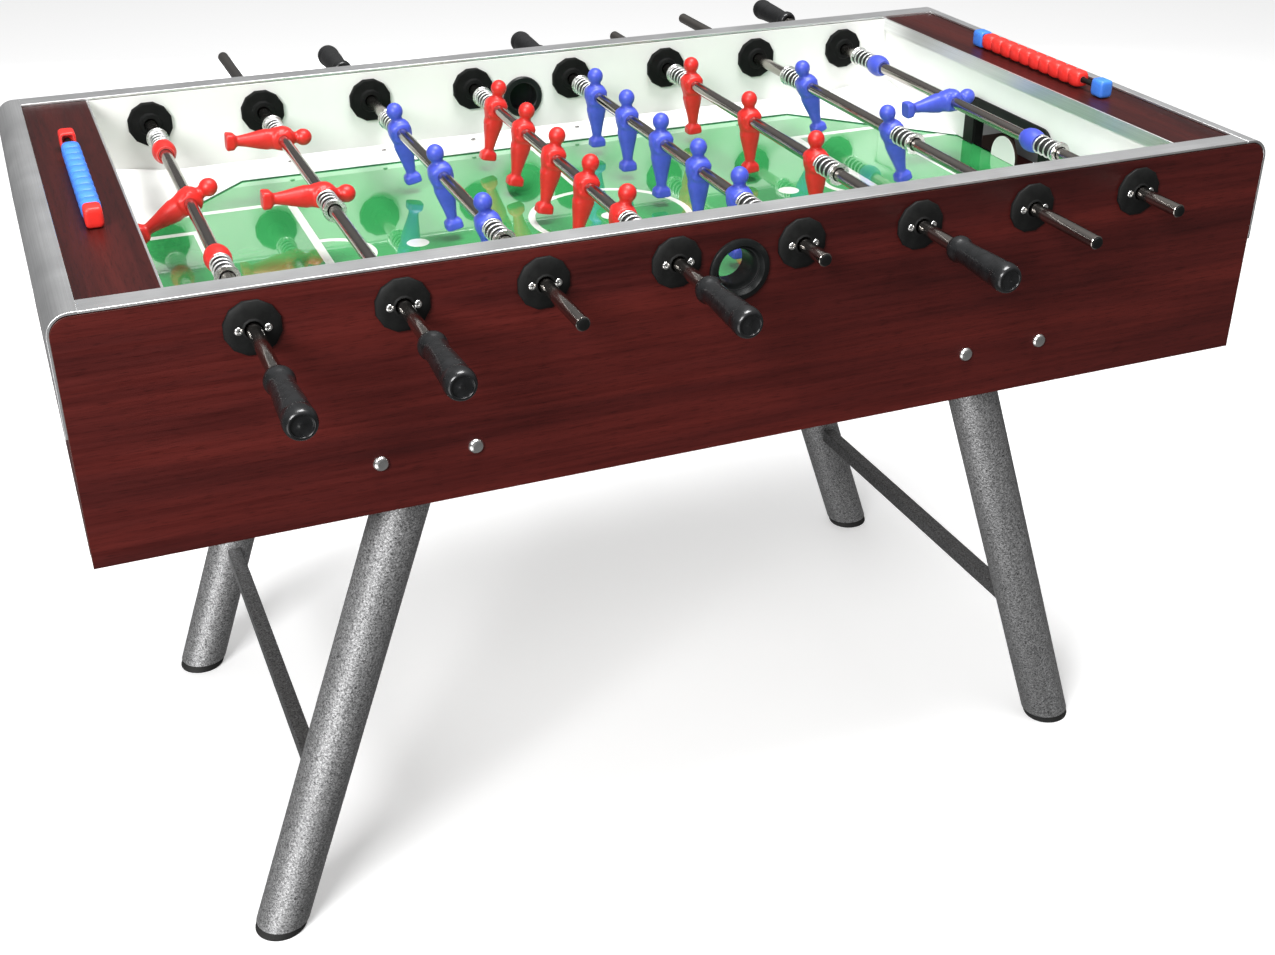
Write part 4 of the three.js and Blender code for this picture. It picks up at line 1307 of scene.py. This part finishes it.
def add_rod(n, node, team, figures):
    body, slider = f"rod_{n}", f"rod_{n}_slider"
    plastic, paint = f"{team}_plastic", TEAM_PAINT[team]
    tilt = turn_about("Y", REST_ANGLES[n - 1])
    about = turn_about("Z", 180)
    travel_low, travel_high = joints[f"rod_{n}_slide"]["range_m"]
    centre = -(travel_low + travel_high) / 2 / MM
    low, high = cad(node)
    ends = {-1: low.y, 1: high.y}

    def at(y, turned=False):
        return placed(rod_x[n - 1], y, ROD_Z, tilt @ about if turned else tilt)

    handle_node = f"rod_{n}_handle"
    handle = cad(handle_node) if handle_node in frame["nodes"] else None
    handle_side = 0
    if handle:
        handle_side = 1 if handle[0].y > 0 else -1
    for side in ends:
        if side != handle_side:
            ends[side] -= side * CAP_SHOWS
    chrome = shared(f"rod_{n}_tube", tube_shape(ends[-1], ends[1]), CHROME)
    piece(f"rod_{n}_chrome_tube", chrome, CHROME, body, [node], at=at(0))
    for word, side in SIDES:
        if side == handle_side:
            grip_at = handle[0].y if side > 0 else handle[1].y
            piece(
                f"rod_{n}_grip", handle_mesh, GRIP, body, [handle_node],
                at=at(grip_at, side < 0),
            )
        else:
            piece(
                f"rod_{n}_{word}_end_cap", cap_mesh, BLACK, body,
                at=at(ends[side], side < 0),
            )

    for k in range(figures):
        y = centre + (k - (figures - 1) / 2) * SPACING[figures]
        piece(f"rod_{n}_figure_{k + 1}", figure_mesh[team], paint, body, at=at(y))
    reach = (figures - 1) / 2 * SPACING[figures] + FIGURE_HALF
    if figures == 1:
        reach = BUMPER_PLACE + BUMPER_HALF
        for word, side in SIDES:
            piece(
                f"rod_{n}_{word}_bumper", bumper_mesh[team], paint, body,
                at=at(centre + side * BUMPER_PLACE, side > 0),
            )
    for word, side in SIDES:
        front = side < 0
        holder = slider if front else body
        replaced = [f"rod_{n}_front_spring"] if front else []
        start = centre + side * (reach + 0.2)
        name = f"rod_{n}_{word}"
        piece(
            f"{name}_coil_spring", spring_mesh, SPRING, holder, replaced,
            at=at(start, front),
        )
        # The black sleeve is painted shade between the coil's turns.
        piece(
            f"{name}_spring_shade_sleeve", shade_sleeve_mesh, RUBBER, holder,
            at=at(start, front),
        )
        piece(
            f"{name}_washer", washer_mesh, ZINC, holder,
            at=at(start + side * SPRING_LENGTH, front),
        )


for rod in rod_nodes():
    add_rod(*rod)


# ------------------------------------------------------------------ legs

def leaned(shape, way, side):
    """Leans an upright shape at the origin along a leg, sideways by LEG_LEAN per height."""
    stretch = math.hypot(1, LEG_LEAN)
    return remap(shape, lambda x, y, z: (
        way * (x * stretch + LEG_FOOT_X - LEG_LEAN * z), side * (y + LEG_Y), z,
    ))


def add_legs():
    bolt_profile = [(1e-4, -0.2), (8.7, -0.2), (8.6, 1.4), (7.0, 3.6), (4.0, 4.8), (1e-4, 5.1)]
    bolt = lathe(rounded(bolt_profile, 0.6), 40)
    top = leg_high.z
    low = FOOT_HEIGHT
    bore = LEG_RADIUS - 2.6
    pipe = facing_y(lathe([
        (bore, low + 2), (LEG_RADIUS - 0.5, low), (LEG_RADIUS, low + 0.6), (LEG_RADIUS, top - 15),
        (LEG_RADIUS, top - 0.6), (LEG_RADIUS - 0.5, top), (bore, top), (bore, low + 2),
    ], 64))
    foot_profile = [(1e-4, 0), (29.4, 0), (30.4, 2.0), (30.4, low - FIT_GAP), (1e-4, low - FIT_GAP)]
    foot = facing_y(lathe(rounded(foot_profile, 1.2), 56))
    bolt_reach = (LEG_BOLTS_X[1] - LEG_BOLTS_X[0]) / 2
    bolt_height = 48
    bracket_holes = [circle(s * bolt_reach, bolt_height, BOLT_HOLE_RADIUS, 20) for s in (-1, 1)]
    bracket = facing_y(plate(arched(75, 10, 100, 0), bracket_holes, INNER_FACE - 5, INNER_FACE))
    bracket = moved(bracket, sum(LEG_BOLTS_X) / 2, 0, LEG_BOLT_Z - bolt_height)
    for side, where in SIDES:
        for end, way in ENDS:
            name = f"{side}_{end}_leg"
            across = ("X" if way < 0 else "") + ("Y" if where < 0 else "")
            piece(
                f"{name}_tube", leaned(pipe, way, where), HAMMERTONE,
                stands_for=[name],
            )
            piece(f"{name}_rubber_foot", leaned(foot, way, where), RUBBER)
            piece(
                f"{name}_bracket", mirrored(bracket, across), HAMMERTONE,
                bevel=0.6,
            )
            for k, x in enumerate(LEG_BOLTS_X):
                head = moved(matched(bolt, where, "Y"), way * x, where * (HALF_WIDTH + 0.2), LEG_BOLT_Z)
                piece(f"{name}_bolt_{k + 1}", head, ZINC)
    for end, way in ENDS:
        x = way * (LEG_FOOT_X - LEG_LEAN * CROSSBAR_Z)
        reach = LEG_Y - LEG_RADIUS + 0.6
        bar = box(x - 10, -reach, CROSSBAR_Z - 10, x + 10, reach, CROSSBAR_Z + 10)
        # The crossbars take the darkened leg paint: painted shade.
        piece(
            f"{end}_square_crossbar", bar, HAMMERTONE_SHADED,
            stands_for=[f"{end}_crossbar"], bevel=1.8,
        )


add_legs()


# ------------------------------------------------------------------ floor and light

FLOOR_COLOR = (0.90, 0.90, 0.90)
FLOOR_GLOW = 0.34
FLOOR_REACH = 14000
ROOM_TONES = ((0.0, 0.20), (0.48, 0.13), (0.62, 0.16), (0.76, 0.28), (0.90, 0.46), (1.0, 0.52))
REFLECTOR_DIRECTION = (-0.69, -0.53, -0.49)
REFLECTOR_EDGE = (0.86, 0.97)
REFLECTOR_GLOW = 2.4


def add_floor():
    corners = [(x, y, 0) for x, y in rectangle(-FLOOR_REACH, -FLOOR_REACH, FLOOR_REACH, FLOOR_REACH)]
    floor_mesh = make_mesh("floor", (corners, [[0, 1, 2, 3]]))
    paint = Paint(
        "pale_floor", FLOOR_COLOR, 0.9,
        Emission_Color=(1.0, 1.0, 1.0, 1.0), Emission_Strength=FLOOR_GLOW,
    )
    grain = paint.noise(40.0, 3.0)
    floor_mesh.materials.append(paint.wear(Roughness=paint.spread(grain, 0.85, 0.95)))
    floor = bpy.data.objects.new("floor", floor_mesh)
    scene.collection.objects.link(floor)
    floor.visible_glossy = False
    floor.visible_diffuse = False


def add_area_light(name, place, aim, size, power, mirrored_in_gloss=True):
    data = bpy.data.lights.new(name, "AREA")
    data.shape = "RECTANGLE"
    data.size, data.size_y = size
    data.energy = power
    light = bpy.data.objects.new(name, data)
    light.visible_glossy = mirrored_in_gloss
    scene.collection.objects.link(light)
    direction = Vector(aim) - Vector(place)
    light.matrix_world = Matrix.Translation(place) @ direction.to_track_quat("-Z", "Y").to_matrix().to_4x4()


def add_world():
    """A studio room: bright ceiling, dim walls, and a lit reflector low at the front left."""
    world = bpy.data.worlds.new("studio")
    world.use_nodes = True
    room = Nodes(world.node_tree)
    direction = room.node("ShaderNodeTexCoord").outputs["Generated"]
    split = room.node("ShaderNodeSeparateXYZ", Vector=direction)
    height = room.spread(split.outputs["Z"], 0.0, 1.0, (-1.0, 1.0))
    tones = room.ramp(height, [(place, (tone, tone, tone)) for place, tone in ROOM_TONES])
    toward = room.vector_math("DOT_PRODUCT", direction, REFLECTOR_DIRECTION)
    patch = room.spread(toward, 0.0, REFLECTOR_GLOW, REFLECTOR_EDGE, "SMOOTHSTEP")
    background = world.node_tree.nodes["Background"]
    room.feed(background.inputs["Color"], room.vector_math("ADD", tones, patch))
    scene.world = world
    scene.view_settings.view_transform = "Standard"


add_floor()
add_area_light("key", (-2.9, -3.1, 3.0), (0, 0, 0.7), (1.8, 1.8), 225)
add_area_light("top", (0.2, -0.5, 4.2), (0, 0, 0.8), (1.9, 1.3), 180)
add_area_light("back_fill", (1.2, 3.6, 0.5), (0, 0, 0.8), (2.4, 0.7), 45, False)
add_world()
